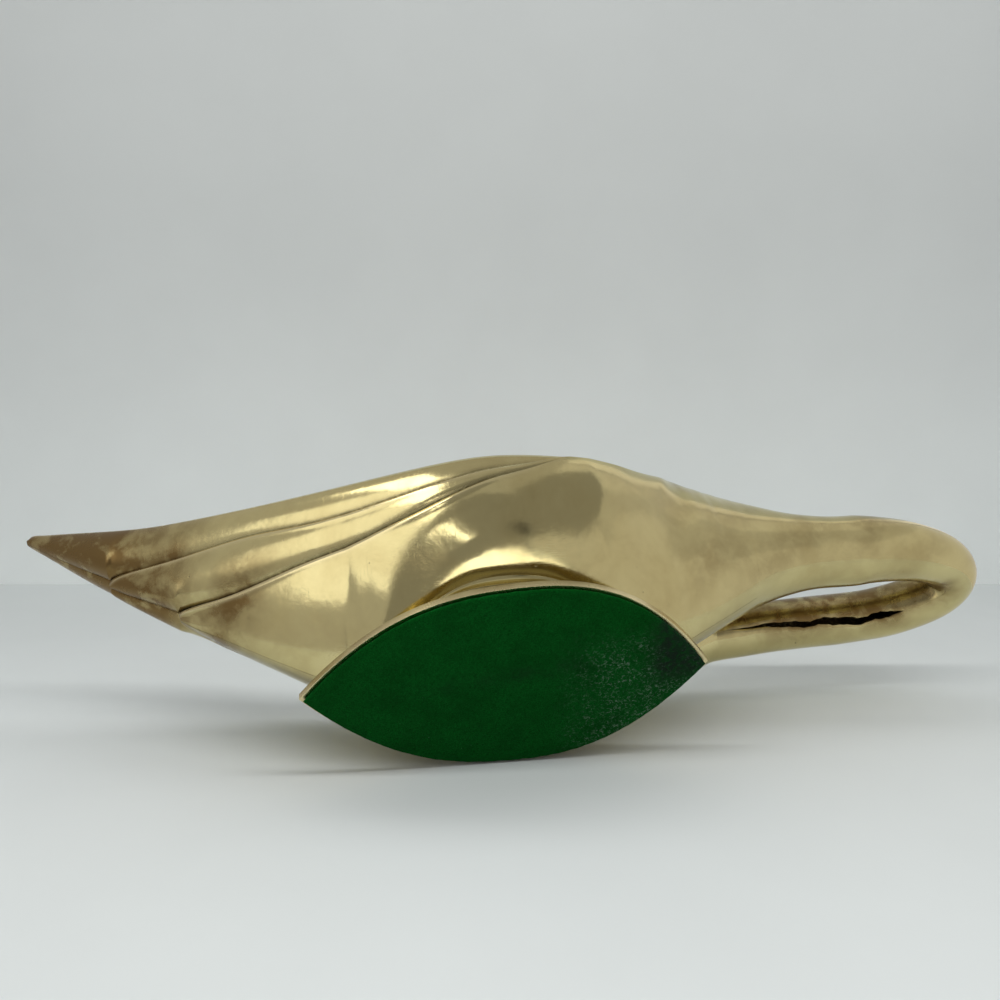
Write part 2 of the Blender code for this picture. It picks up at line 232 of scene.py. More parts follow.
def hand_over(
    piece: bpy.types.Object, material: bpy.types.Material, slot: str, *nodes: str
) -> bpy.types.Object:
    """Gives a finished piece its material and its place in the model.

    Args:
        piece: the finished piece.
        material: its finish.
        slot: not used.
        nodes: the solids that it stands for.

    Returns:
        The piece.
    """
    piece.data.materials.clear()
    piece.data.materials.append(material)
    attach(piece, "root")
    if nodes:
        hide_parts(*nodes)
    stands_for = ", ".join(nodes) or "trim"
    LOG.info("%s: %d faces, stands for %s", piece.name, len(piece.data.polygons), stands_for)
    return piece


class Bench:
    """Adds nodes to one material and joins them."""

    def __init__(self, name: str) -> None:
        """Starts an empty material with its output and shader."""
        self.material = bpy.data.materials.new(name)
        self.material.use_nodes = True
        self.tree = self.material.node_tree
        self.shader = self.tree.nodes["Principled BSDF"]
        self.place = self.tree.nodes.new("ShaderNodeTexCoord").outputs["Object"]

    def node(self, kind: str, inputs: dict | None = None, **settings: object) -> bpy.types.Node:
        """A new shader node with its own settings, and with inputs joined or set."""
        made = self.tree.nodes.new("ShaderNode" + kind)
        for key, value in settings.items():
            setattr(made, key, value)
        for key, value in (inputs or {}).items():
            self.feed(made.inputs[key], value)
        return made

    def feed(self, socket: bpy.types.NodeSocket, value: object) -> None:
        """Joins a socket to another one, or sets its number."""
        if isinstance(value, bpy.types.NodeSocket):
            self.tree.links.new(value, socket)
        else:
            socket.default_value = value

    def attribute(self, name: str) -> bpy.types.NodeSocket:
        """A number that is painted on the piece."""
        return self.node("Attribute", attribute_name=name).outputs["Fac"]

    def stretched(self, scale: tuple[float, ...], turn: tuple[float, ...]) -> bpy.types.NodeSocket:
        """The object's place, turned and stretched."""
        inputs = {"Vector": self.place, "Scale": scale, "Rotation": turn}
        return self.node("Mapping", inputs).outputs["Vector"]

    def noise(self, scale: float, detail: float = 4.0, rough: float = 0.55, twist: float = 0.0,
              vector: bpy.types.NodeSocket | None = None) -> bpy.types.NodeSocket:
        """An uneven cloud from 0 to 1, scale clouds to the metre."""
        inputs = {"Vector": vector or self.place, "Scale": scale, "Detail": detail,
                  "Roughness": rough, "Distortion": twist}
        return self.node("TexNoise", inputs).outputs["Fac"]

    def cells(self, scale: float) -> bpy.types.NodeSocket:
        """The distance to the nearest of many scattered points."""
        return self.node("TexVoronoi", {"Vector": self.place, "Scale": scale}).outputs["Distance"]

    def fit(self, value: object, low: float, high: float, out_low: float = 0.0,
            out_high: float = 1.0) -> bpy.types.NodeSocket:
        """Maps a range of numbers to another, eased and held at its ends."""
        inputs = {"Value": value, "From Min": low, "From Max": high,
                  "To Min": out_low, "To Max": out_high}
        return self.node("MapRange", inputs, interpolation_type="SMOOTHSTEP").outputs["Result"]

    def reckon(self, operation: str, first: object, second: object,
               clamp: bool = False) -> bpy.types.NodeSocket:
        """One reckoning of two numbers."""
        inputs = {0: first, 1: second}
        return self.node("Math", inputs, operation=operation, use_clamp=clamp).outputs["Value"]

    def times(self, first: object, second: object) -> bpy.types.NodeSocket:
        """The product of two numbers."""
        return self.reckon("MULTIPLY", first, second)

    def plus(self, first: object, second: object, clamp: bool = False) -> bpy.types.NodeSocket:
        """The sum of two numbers."""
        return self.reckon("ADD", first, second, clamp)

    def blend(self, share: object, first: object, second: object, way: str = "MIX") -> bpy.types.NodeSocket:
        """Mixes two colours."""
        first, second = ((*side, 1.0) if isinstance(side, tuple) else side for side in (first, second))
        inputs = {"Factor": share, "A": first, "B": second}
        return self.node("Mix", inputs, data_type="RGBA", blend_type=way).outputs["Result"]

    def bump(self, height: object, strength: float, distance: float,
             normal: bpy.types.NodeSocket | None = None) -> bpy.types.NodeSocket:
        """Raises the surface by a height in units of distance."""
        inputs = {"Strength": strength, "Distance": distance, "Height": height}
        if normal is not None:
            inputs["Normal"] = normal
        return self.node("Bump", inputs).outputs["Normal"]


@dataclass(frozen=True)
class BrassFinish:
    """Polished cast brass that has begun to tarnish. Scales are in clouds or points to the metre."""

    name: str
    bright: tuple[float, float, float] = (0.735, 0.640, 0.325)
    dull: tuple[float, float, float] = (0.590, 0.480, 0.215)
    brown: tuple[float, float, float] = (0.215, 0.138, 0.052)
    # near-black, for dirt and for painted shade in hollows and gaps
    grime: tuple[float, float, float] = (0.030, 0.019, 0.007)
    gloss: float = 0.10
    haze: float = 0.16
    tarnish: float = 0.5
    scratches: float = 1.0
    waviness: float = 1.0
    # paler brass, for painted highlights along edges
    rubbed: tuple[float, float, float] = (0.86, 0.74, 0.44)
    cloud_scale: float = 28.0
    mottle_scale: float = 130.0
    fine_scale: float = 620.0
    pit_scale: float = 210.0
    pit_patch_scale: float = 60.0
    sweep_scale: float = 45.0
    swell_scale: float = 34.0
    dimple_scale: float = 150.0
    long_lines: tuple[float, float, float] = (90.0, 3400.0, 3400.0)
    long_lines_turn: tuple[float, float, float] = (0.15, -0.35, 0.20)
    cross_lines: tuple[float, float, float] = (2600.0, 120.0, 160.0)
    cross_lines_turn: tuple[float, float, float] = (0.5, 0.2, -0.6)

    def make(self) -> bpy.types.Material:
        """Builds the material.

        Returns:
            A metal whose colour, gloss and fine relief vary over the piece. It reads three painted numbers:
            dirt with painted shade, tarnish with painted shade, and painted highlights along edges.
        """
        bench = Bench(self.name)
        shader = bench.shader
        shader.inputs["Metallic"].default_value = 1.0
        grime, stain, rub = (bench.attribute(name) for name in ("grime", "stain", "rub"))
        cloud = bench.noise(self.cloud_scale, 6.0, 0.62, 0.6)
        mottle = bench.noise(self.mottle_scale, 5.0, 0.6, 0.3)
        fine = bench.noise(self.fine_scale, 4.0, 0.6)
        haze = bench.times(bench.fit(cloud, 0.38, 0.72), self.tarnish)
        spots = bench.times(bench.fit(mottle, 0.5, 0.8), 0.35 * self.tarnish)
        haze = bench.plus(haze, spots, True)
        colour = bench.blend(haze, self.bright, self.dull)
        # brown tarnish, and painted shade where it is painted on the neck
        patchy = bench.times(stain, bench.fit(mottle, 0.30, 0.62, 0.50, 1.0))
        clouded = bench.times(bench.fit(cloud, 0.60, 0.80), 0.25 * self.tarnish)
        patchy = bench.plus(patchy, clouded, True)
        colour = bench.blend(patchy, colour, self.brown)
        speck = bench.fit(bench.cells(self.pit_scale), 0.10, 0.05)
        speck = bench.times(speck, bench.fit(bench.noise(self.pit_patch_scale, 2.0), 0.56, 0.66))
        # near-black dirt, and painted shade inside the neck and in the gap under the bowl
        dirt_and_shade = bench.times(grime, bench.fit(fine, 0.25, 0.60, 0.55, 1.0))
        dirt_and_shade = bench.reckon("MAXIMUM", dirt_and_shade, bench.times(speck, 0.75))
        colour = bench.blend(dirt_and_shade, colour, self.grime)
        # painted highlight: paler brass along feather edges, the rim and the plate's lower edge
        colour = bench.blend(bench.times(rub, 0.8), colour, self.rubbed)
        bench.feed(shader.inputs["Base Color"], colour)

        long_lines = bench.stretched(self.long_lines, self.long_lines_turn)
        cross_lines = bench.stretched(self.cross_lines, self.cross_lines_turn)
        lines_a = bench.noise(1.0, 3.0, 0.5, 0.0, long_lines)
        lines_b = bench.noise(1.0, 2.0, 0.5, 0.0, cross_lines)
        sweep = bench.fit(bench.noise(self.sweep_scale, 3.0), 0.40, 0.66)
        scratch = bench.times(bench.fit(lines_a, 0.52, 0.74), sweep)
        scratch = bench.plus(scratch, bench.times(bench.fit(lines_b, 0.62, 0.78), 0.6), True)
        rough = bench.times(haze, self.haze)
        for mark, weight in ((patchy, 0.16), (scratch, 0.07 * self.scratches), (dirt_and_shade, 0.45)):
            rough = bench.plus(rough, bench.times(mark, weight))
        rough = bench.plus(rough, self.gloss, True)
        bench.feed(shader.inputs["Roughness"], rough)

        swell = bench.noise(self.swell_scale, 2.0, 0.45)
        dimple = bench.noise(self.dimple_scale, 2.0, 0.5)
        normal = bench.bump(swell, 0.14 * self.waviness, 0.0022)
        normal = bench.bump(dimple, 0.12 * self.waviness, 0.0006, normal)
        pit = bench.times(speck, -1.0)
        normal = bench.bump(pit, 0.5, 0.0004, normal)
        normal = bench.bump(scratch, 0.10 * self.scratches, 0.0001, normal)
        normal = bench.bump(fine, 0.06, 0.0001, normal)
        bench.feed(shader.inputs["Normal"], normal)
        return bench.material


@dataclass(frozen=True)
class FeltFinish:
    """Green felt, dusty at one end and worn grey at the tip."""

    name: str = "green_felt_cloth"
    deep: tuple[float, float, float] = (0.0004, 0.0230, 0.0020)
    light: tuple[float, float, float] = (0.0022, 0.0950, 0.0110)
    dust: tuple[float, float, float] = (0.110, 0.170, 0.120)
    worn: tuple[float, float, float] = (0.0090, 0.0170, 0.0110)

    def make(self) -> bpy.types.Material:
        """Builds the material, which reads the painted numbers dust and worn."""
        bench = Bench(self.name)
        shader = bench.shader
        shader.inputs["Roughness"].default_value = 0.95
        shader.inputs["Specular IOR Level"].default_value = 0.02
        shader.inputs["Sheen Weight"].default_value = 0.02
        shader.inputs["Sheen Roughness"].default_value = 0.6
        shader.inputs["Sheen Tint"].default_value = (0.25, 0.80, 0.35, 1.0)
        layers = (((1500.0, 3800.0, 2000.0), 0.5), ((3600.0, 1400.0, 2000.0), 1.1))
        fibres = [bench.noise(1.0, 3.0, 0.6, 1.5, bench.stretched(scale, (0.0, 0.0, turn)))
                  for scale, turn in layers]
        weave = bench.times(bench.plus(*fibres), 0.5)
        cloud = bench.noise(60.0, 4.0, 0.6)
        colour = bench.blend(bench.fit(weave, 0.34, 0.64), self.deep, self.light)
        colour = bench.blend(bench.fit(cloud, 0.35, 0.75, 0.0, 0.45), colour, self.deep)
        dust, worn = bench.attribute("dust"), bench.attribute("worn")
        grain = bench.fit(bench.noise(900.0, 4.0, 0.7, 0.8), 0.50, 0.66)
        patch = bench.fit(bench.noise(170.0, 4.0, 0.6, 0.6), 0.38, 0.62, 0.25, 1.0)
        dusty = bench.times(bench.times(dust, grain), patch)
        lint = bench.fit(bench.cells(260.0), 0.060, 0.035)
        lint = bench.times(lint, bench.fit(bench.noise(90.0, 2.0), 0.55, 0.62))
        dusty = bench.reckon("MAXIMUM", dusty, bench.times(lint, 0.35))
        rubbing = bench.fit(bench.noise(420.0, 4.0, 0.6, 0.5), 0.30, 0.60, 0.35, 1.0)
        rubbed = bench.times(worn, rubbing)
        colour = bench.blend(rubbed, colour, self.worn)
        colour = bench.blend(dusty, colour, self.dust)
        bench.feed(shader.inputs["Base Color"], colour)
        tuft = bench.noise(1300.0, 3.0, 0.7, 1.0)
        normal = bench.bump(weave, 0.55, 0.0006)
        normal = bench.bump(tuft, 0.35, 0.0004, normal)
        bench.feed(shader.inputs["Normal"], normal)
        return bench.material


@dataclass
class SwanForm:
    """The lines of the swan's body, with the same sizes as its solids."""

    foot_length: float = 0.140
    foot_width: float = 0.080
    foot_fullness: float = 2.43
    foot_forward_fullness: float = 0.078
    felt_thickness: float = 0.0015
    felt_inset: float = 0.0007
    plate_thickness: float = 0.0025
    fit_gap: float = 0.0003
    wall: float = 0.003
    hull_aft: float = 0.052
    hull_fore: float = 0.053
    hull_inset: float = 0.001
    hull_fullness: float = 2.2
    rim_half_width: float = 0.0625
    rim_height: float = 0.0453
    tail_reach: float = 0.176
    tail_tip_height: float = 0.102
    tail_tip_depth: float = 0.003
    rim_softness: float = 0.12
    rim_aft_taper: float = 1.25
    keel_aft_rise: float = 1.13
    mouth_fore: float = 0.088
    rim_fore_fullness: tuple[float, float] = (1.9, 0.62)
    rim_fore_rise: float = 2.4
    breast_closing: float = 2.2
    breast_height: float = 0.0870
    waist_lean: float = math.radians(111.0)
    waist_height: float = 0.0080
    waist_inset: float = 0.0016
    waist_level: float = 0.010
    waist_fade: float = 0.036
    groove_height: float = 0.0011
    groove_inset: float = 0.0005
    bowl_flare: float = math.radians(18.0)
    flank_flare: float = math.radians(78.0)
    start_pull: float = 0.36
    flank_pull: float = 0.36
    mid_flank_pull: float = 0.45
    breast_pull: float = 0.46
    stern_flare: float = math.radians(6.0)
    bow_flare: float = math.radians(4.0)
    rim_lean: float = math.radians(86.0)
    stern_rounding: float = 0.0062
    bow_rounding: float = 0.0110
    feather_notches: tuple[float, float] = (0.1135, 0.1405)
    feather_root: float = 0.027
    lower_feather: tuple[tuple[float, float], ...] = (
        (-0.0954, 0.0418), (-0.0672, 0.0371), (-0.0437, 0.0331), (-0.0250, 0.0319), (-0.0060, 0.0340),
        (0.0110, 0.0386), (0.0270, 0.0478))
    upper_feather: tuple[tuple[float, float], ...] = (
        (-0.1175, 0.0638), (-0.0880, 0.0572), (-0.0582, 0.0470), (-0.0279, 0.0400), (-0.0080, 0.0384),
        (0.0090, 0.0405), (0.0270, 0.0478))
    feather_step: float = 0.0030
    feather_crown: float = 0.0020
    neck_root_x: float = 0.100
    neck_root_height: float = 0.0585
    neck_root_half_height: float = 0.0265
    neck_root_half_width: float = 0.0200
    neck_root_flare: tuple[float, float] = (0.287, 0.600)
    neck_root_blend_start: float = 0.066
    neck_radius: float = 0.0142
    neck_near_height: float = 0.0552
    neck_near_length: float = 0.0505
    breast_easing: float = 0.0065
    breast_fullness: tuple[tuple[float, float], ...] = (
        (0.034, 0.0), (0.045, -0.0011), (0.056, -0.0021), (0.064, -0.0016), (0.072, 0.0), (0.078, 0.0018),
        (0.084, 0.0019), (0.090, 0.0011), (0.098, 0.0003), (0.110, 0.0), (0.125, 0.0), (0.138, 0.0))
    breast_easing_span: tuple[float, float] = (0.028, 0.148)
    breast_easing_ramp: float = 0.040
    easing_steps: int = 4
    tip_run: float = 0.0040
    tip_round: float = 0.0025
    search_rows: int = 161

    @property
    def plate_bottom(self) -> float:
        """The height of the plate's underside."""
        return self.felt_thickness + self.fit_gap

    @property
    def plate_top(self) -> float:
        """The height of the plate's top."""
        return self.plate_bottom + self.plate_thickness

    @property
    def hull_bottom(self) -> float:
        """The height of the bowl's lowest edge."""
        return self.plate_top + self.fit_gap

    @property
    def felt_size(self) -> tuple[float, float]:
        """The felt's length and width."""
        return self.foot_length - 4.0 * self.felt_inset, self.foot_width - 2.0 * self.felt_inset

    def foot_half_width(self, x: np.ndarray, length: float, width: float) -> np.ndarray:
        """The leaf outline of the foot: pointed at both ends, and fuller towards the breast."""
        along = np.minimum(np.abs(2.0 * x / length), 1.0)
        lean = 1.0 + self.foot_forward_fullness * 2.0 * x / length
        return 0.5 * width * (1.0 - along**self.foot_fullness) * lean

    def on_hull(self, x: float) -> bool:
        """Whether the bowl stands on the plate at x."""
        return -self.hull_aft < x < self.hull_fore

    def hull_share(self, x: float) -> float:
        """How far x is on the way from amidships to the end of the bowl's foot."""
        return abs(x) / (self.hull_aft if x < 0.0 else self.hull_fore)

    def hull_half_width(self, along: np.ndarray) -> np.ndarray:
        """Half the width of the bowl's foot, at a share of the way to its end."""
        return (0.5 * self.foot_width - self.hull_inset) * (1.0 - along**self.hull_fullness)

    def rim_point(self, x: float) -> tuple[float, float]:
        """The rim's distance from the middle plane and its height."""
        if x <= 0.0:
            along = math.hypot(min(-x / self.tail_reach, 1.0), self.rim_softness) - self.rim_softness
            along /= math.hypot(1.0, self.rim_softness) - self.rim_softness
            out = self.rim_half_width * max(1.0 - along, 0.0) ** self.rim_aft_taper
            from_tip = max(x + self.tail_reach, 0.0)
            blunt = math.sqrt(max(1.0 - (1.0 - min(from_tip / self.tip_run, 1.0)) ** 2, 0.0))
            out += self.tip_round * blunt * (1.0 - float(smooth((from_tip - 0.012) / 0.045)))
            return out, self.rim_height + (self.tail_tip_height - self.rim_height) * along
        along = min(x / self.mouth_fore, 1.0)
        fullness, ending = self.rim_fore_fullness
        out = self.rim_half_width * max(1.0 - along**fullness, 0.0) ** ending
        return out, self.rim_height + (self.breast_height - self.rim_height) * along**self.rim_fore_rise

    def bottom_point(self, x: float) -> tuple[float, float]:
        """Where the flank starts: on the plate, or on the keel that rises towards either end."""
        if self.on_hull(x):
            return self.hull_half_width(self.hull_share(x)), self.hull_bottom
        if x < 0.0:
            along = (-x - self.hull_aft) / (self.tail_reach - self.hull_aft)
            rise = self.tail_tip_height - self.tail_tip_depth - self.hull_bottom
            return 0.0, self.hull_bottom + rise * along**self.keel_aft_rise
        along = (x - self.hull_fore) / (self.neck_root_x - self.hull_fore)
        lowest = self.neck_root_height - self.neck_root_half_height
        return 0.0, self.hull_bottom + (lowest - self.hull_bottom) * along

    def waist(self, x: float) -> float:
        """How much of the waist over the foot there is at x: 1 amidships and 0 towards either end."""
        return 1.0 - float(smooth((abs(x) - self.waist_level) / self.waist_fade))

    def bowl_bottom(self, x: float) -> tuple[float, float]:
        """Where the bowl proper starts: above the foot's waist, or on the keel."""
        out, height = self.bottom_point(x)
        if not self.on_hull(x):
            return out, height
        there = float(smooth((1.0 - self.hull_share(x)) / 0.15))
        inset = self.groove_inset + self.waist_inset * self.waist(x)
        raised = self.groove_height + self.waist_height * self.waist(x)
        return out - there * min(inset, 0.5 * out), height + there * raised

    def leans(self, x: float) -> tuple[float, float]:
        """The flank's lean at the bowl's bottom, and how far x is towards either end."""
        ends = float(smooth(abs(x) / self.hull_fore))
        middle = self.waist(x) * self.bowl_flare + (1.0 - self.waist(x)) * self.flank_flare
        return (1.0 - ends) * middle + ends * (self.stern_flare if x < 0.0 else self.bow_flare), ends

    def pedestal(self, x: float, up: np.ndarray) -> tuple[np.ndarray, np.ndarray]:
        """The hollow between the plate and the bowl, as places and ways out; up runs from 0 to 1."""
        first, last = np.array(self.bottom_point(x)), np.array(self.bowl_bottom(x))
        reach = 0.5 * max(float(np.linalg.norm(last - first)), 1e-9)
        end_lean, ends = self.leans(x)
        start_lean = (1.0 - ends) * self.waist_lean + ends * end_lean
        second = first + reach * np.array((math.cos(start_lean), math.sin(start_lean)))
        third = last - reach * np.array((math.cos(end_lean), math.sin(end_lean)))
        return self.cubic((first, second, third, last), up)

    @staticmethod
    def cubic(corners: tuple[np.ndarray, ...], up: np.ndarray) -> tuple[np.ndarray, np.ndarray]:
        """Places on a cubic curve with four corners, and the ways out of it."""
        first, second, third, last = corners
        up = np.asarray(up, dtype=float)[:, None]
        down = 1.0 - up
        place = down**3 * first + 3 * down**2 * up * second + 3 * down * up**2 * third + up**3 * last
        way = down**2 * (second - first) + 2 * down * up * (third - second) + up**2 * (last - third)
        out = np.stack((way[:, 1], -way[:, 0]), axis=1)
        return place, out / np.maximum(np.linalg.norm(out, axis=1), 1e-12)[:, None]

    def plain_flank(self, x: float, up: np.ndarray) -> tuple[np.ndarray, np.ndarray]:
        """One section of the bowl or of the neck's root, before its changes along the swan are eased."""
        turn = math.pi * np.asarray(up, dtype=float)
        oval = np.stack((np.sin(turn), -np.cos(turn)), axis=1)
        if x > self.neck_root_x:
            height, wide, tall = self.neck_root(x)
            out = oval / np.array((wide, tall))
            place = np.array((0.0, height)) + oval * np.array((wide, tall))
            return place, out / np.linalg.norm(out, axis=1)[:, None]
        start_lean, ends = self.leans(x)
        forward_half = 0.5 * self.mouth_fore
        closing = min(max((x - forward_half) / forward_half, 0.0), 1.0) ** self.breast_closing
        end_lean = self.rim_lean + (math.pi - self.rim_lean) * closing
        first, last = np.array(self.bowl_bottom(x)), np.array(self.rim_point(x))
        chord = np.linalg.norm(last - first)
        forward = float(smooth((x - self.hull_fore) / (0.8 * (self.neck_root_x - self.hull_fore))))
        end_pull = self.flank_pull + (self.mid_flank_pull - self.flank_pull) * self.waist(x)
        end_pull = end_pull + (self.breast_pull - self.flank_pull) * forward
        third = last - end_pull * chord * np.array((math.cos(end_lean), math.sin(end_lean)))
        rounding = self.stern_rounding if x < 0.0 else self.bow_rounding
        keel_pull = math.sqrt(rounding * 2.0 / 3.0 * max(third[1] - first[1], 0.0))
        start_pull = (1.0 - ends) * self.start_pull * chord + ends * keel_pull
        second = first + start_pull * np.array((math.cos(start_lean), math.sin(start_lean)))
        place, out = self.cubic((first, second, third, last), up)
        span = self.neck_root_x - self.neck_root_blend_start
        round_part = float(smooth((x - self.neck_root_blend_start) / span))
        if round_part > 0.0:
            radii = np.array((self.neck_root_half_width, self.neck_root_half_height))
            radii = radii + np.array(self.neck_root_flare) * (self.neck_root_x - x)
            oval_out = oval / radii
            oval_out /= np.linalg.norm(oval_out, axis=1)[:, None]
            round_place = np.array((0.0, self.neck_root_height)) + oval * radii
            place = (1.0 - round_part) * place + round_part * round_place
            out = (1.0 - round_part) * out + round_part * oval_out
            out /= np.linalg.norm(out, axis=1)[:, None]
        return place, out

    def neck_root(self, x: float) -> tuple[float, float, float]:
        """The neck's middle height, half width and half height at a place of its near strand."""
        along = min((x - self.neck_root_x) / self.neck_near_length, 1.0)
        settled = 1.0 - (1.0 - along) ** 2.5
        wide = self.neck_root_half_width + (self.neck_radius - self.neck_root_half_width) * settled
        tall = self.neck_root_half_height + (self.neck_radius - self.neck_root_half_height) * settled
        height = self.neck_root_height + (self.neck_near_height - self.neck_root_height) * float(smooth(along))
        return height, wide, tall

    def flank(self, x: float, up: np.ndarray) -> tuple[np.ndarray, np.ndarray]:
        """One section of the flank's plain face, eased along the swan where the breast becomes the neck.

        Args:
            x: where the section is cut.
            up: how far up the flank, from 0 at the bottom to 1 at the rim.

        Returns:
            The places as (distance out, height), and the ways out of the face.
        """
        (start, end), ramp = self.breast_easing_span, self.breast_easing_ramp
        step = self.breast_easing * float(smooth((x - start) / ramp)) * float(smooth((end - x) / ramp))
        if step < 1e-5:
            return self.plain_flank(x, up)
        raised = curve(self.breast_fullness, x) if x > self.breast_fullness[0][0] else 0.0
        place, out = self.eased_flank(x, step, up)
        edges = np.array((0.0, 1.0))
        excess = self.eased_flank(x, step, edges)[0] - self.plain_flank(x, edges)[0]
        up = np.asarray(up)
        low, high = 1.0 - smooth(up / 0.3), smooth((up - 0.7) / 0.3)
        out = out / np.linalg.norm(out, axis=1)[:, None]
        full = raised * smooth((up - 0.30) / 0.30)
        return place - low[:, None] * excess[0] - high[:, None] * excess[1] + full[:, None] * out, out

    def eased_flank(self, x: float, step: float, up: np.ndarray) -> tuple[np.ndarray, np.ndarray]:
        """A section averaged with its neighbours along the swan, a step apart."""
        place, out, total = 0.0, 0.0, 0.0
        for count in range(-self.easing_steps, self.easing_steps + 1):
            weight = math.exp(-0.5 * (2.0 * count / self.easing_steps) ** 2)
            near_place, near_out = self.plain_flank(x + count * step, up)
            place, out, total = place + weight * near_place, out + weight * near_out, total + weight
        return place / total, out

    def feather_line(self, x: float, index: int) -> float:
        """How far up the flank a feather's upper edge runs: 0 aft of its notch, 1 at the rim."""
        notch = -self.feather_notches[index]
        if x <= notch:
            return 0.0
        if x >= self.feather_root:
            return 1.0
        start = ((notch, self.bottom_point(notch)[1]),)
        height = curve(start + (self.upper_feather if index else self.lower_feather), x)
        share = np.linspace(0.0, 1.0, self.search_rows)
        return float(np.interp(height, self.flank(x, share)[0][:, 1], share))

    def feather_fade(self, x: float, index: int) -> float:
        """The feathers stand out most at the tail, and die away where they start at the rim."""
        notch = -self.feather_notches[index]
        return min(max((self.feather_root - x) / (self.feather_root - notch), 0.0), 1.0)


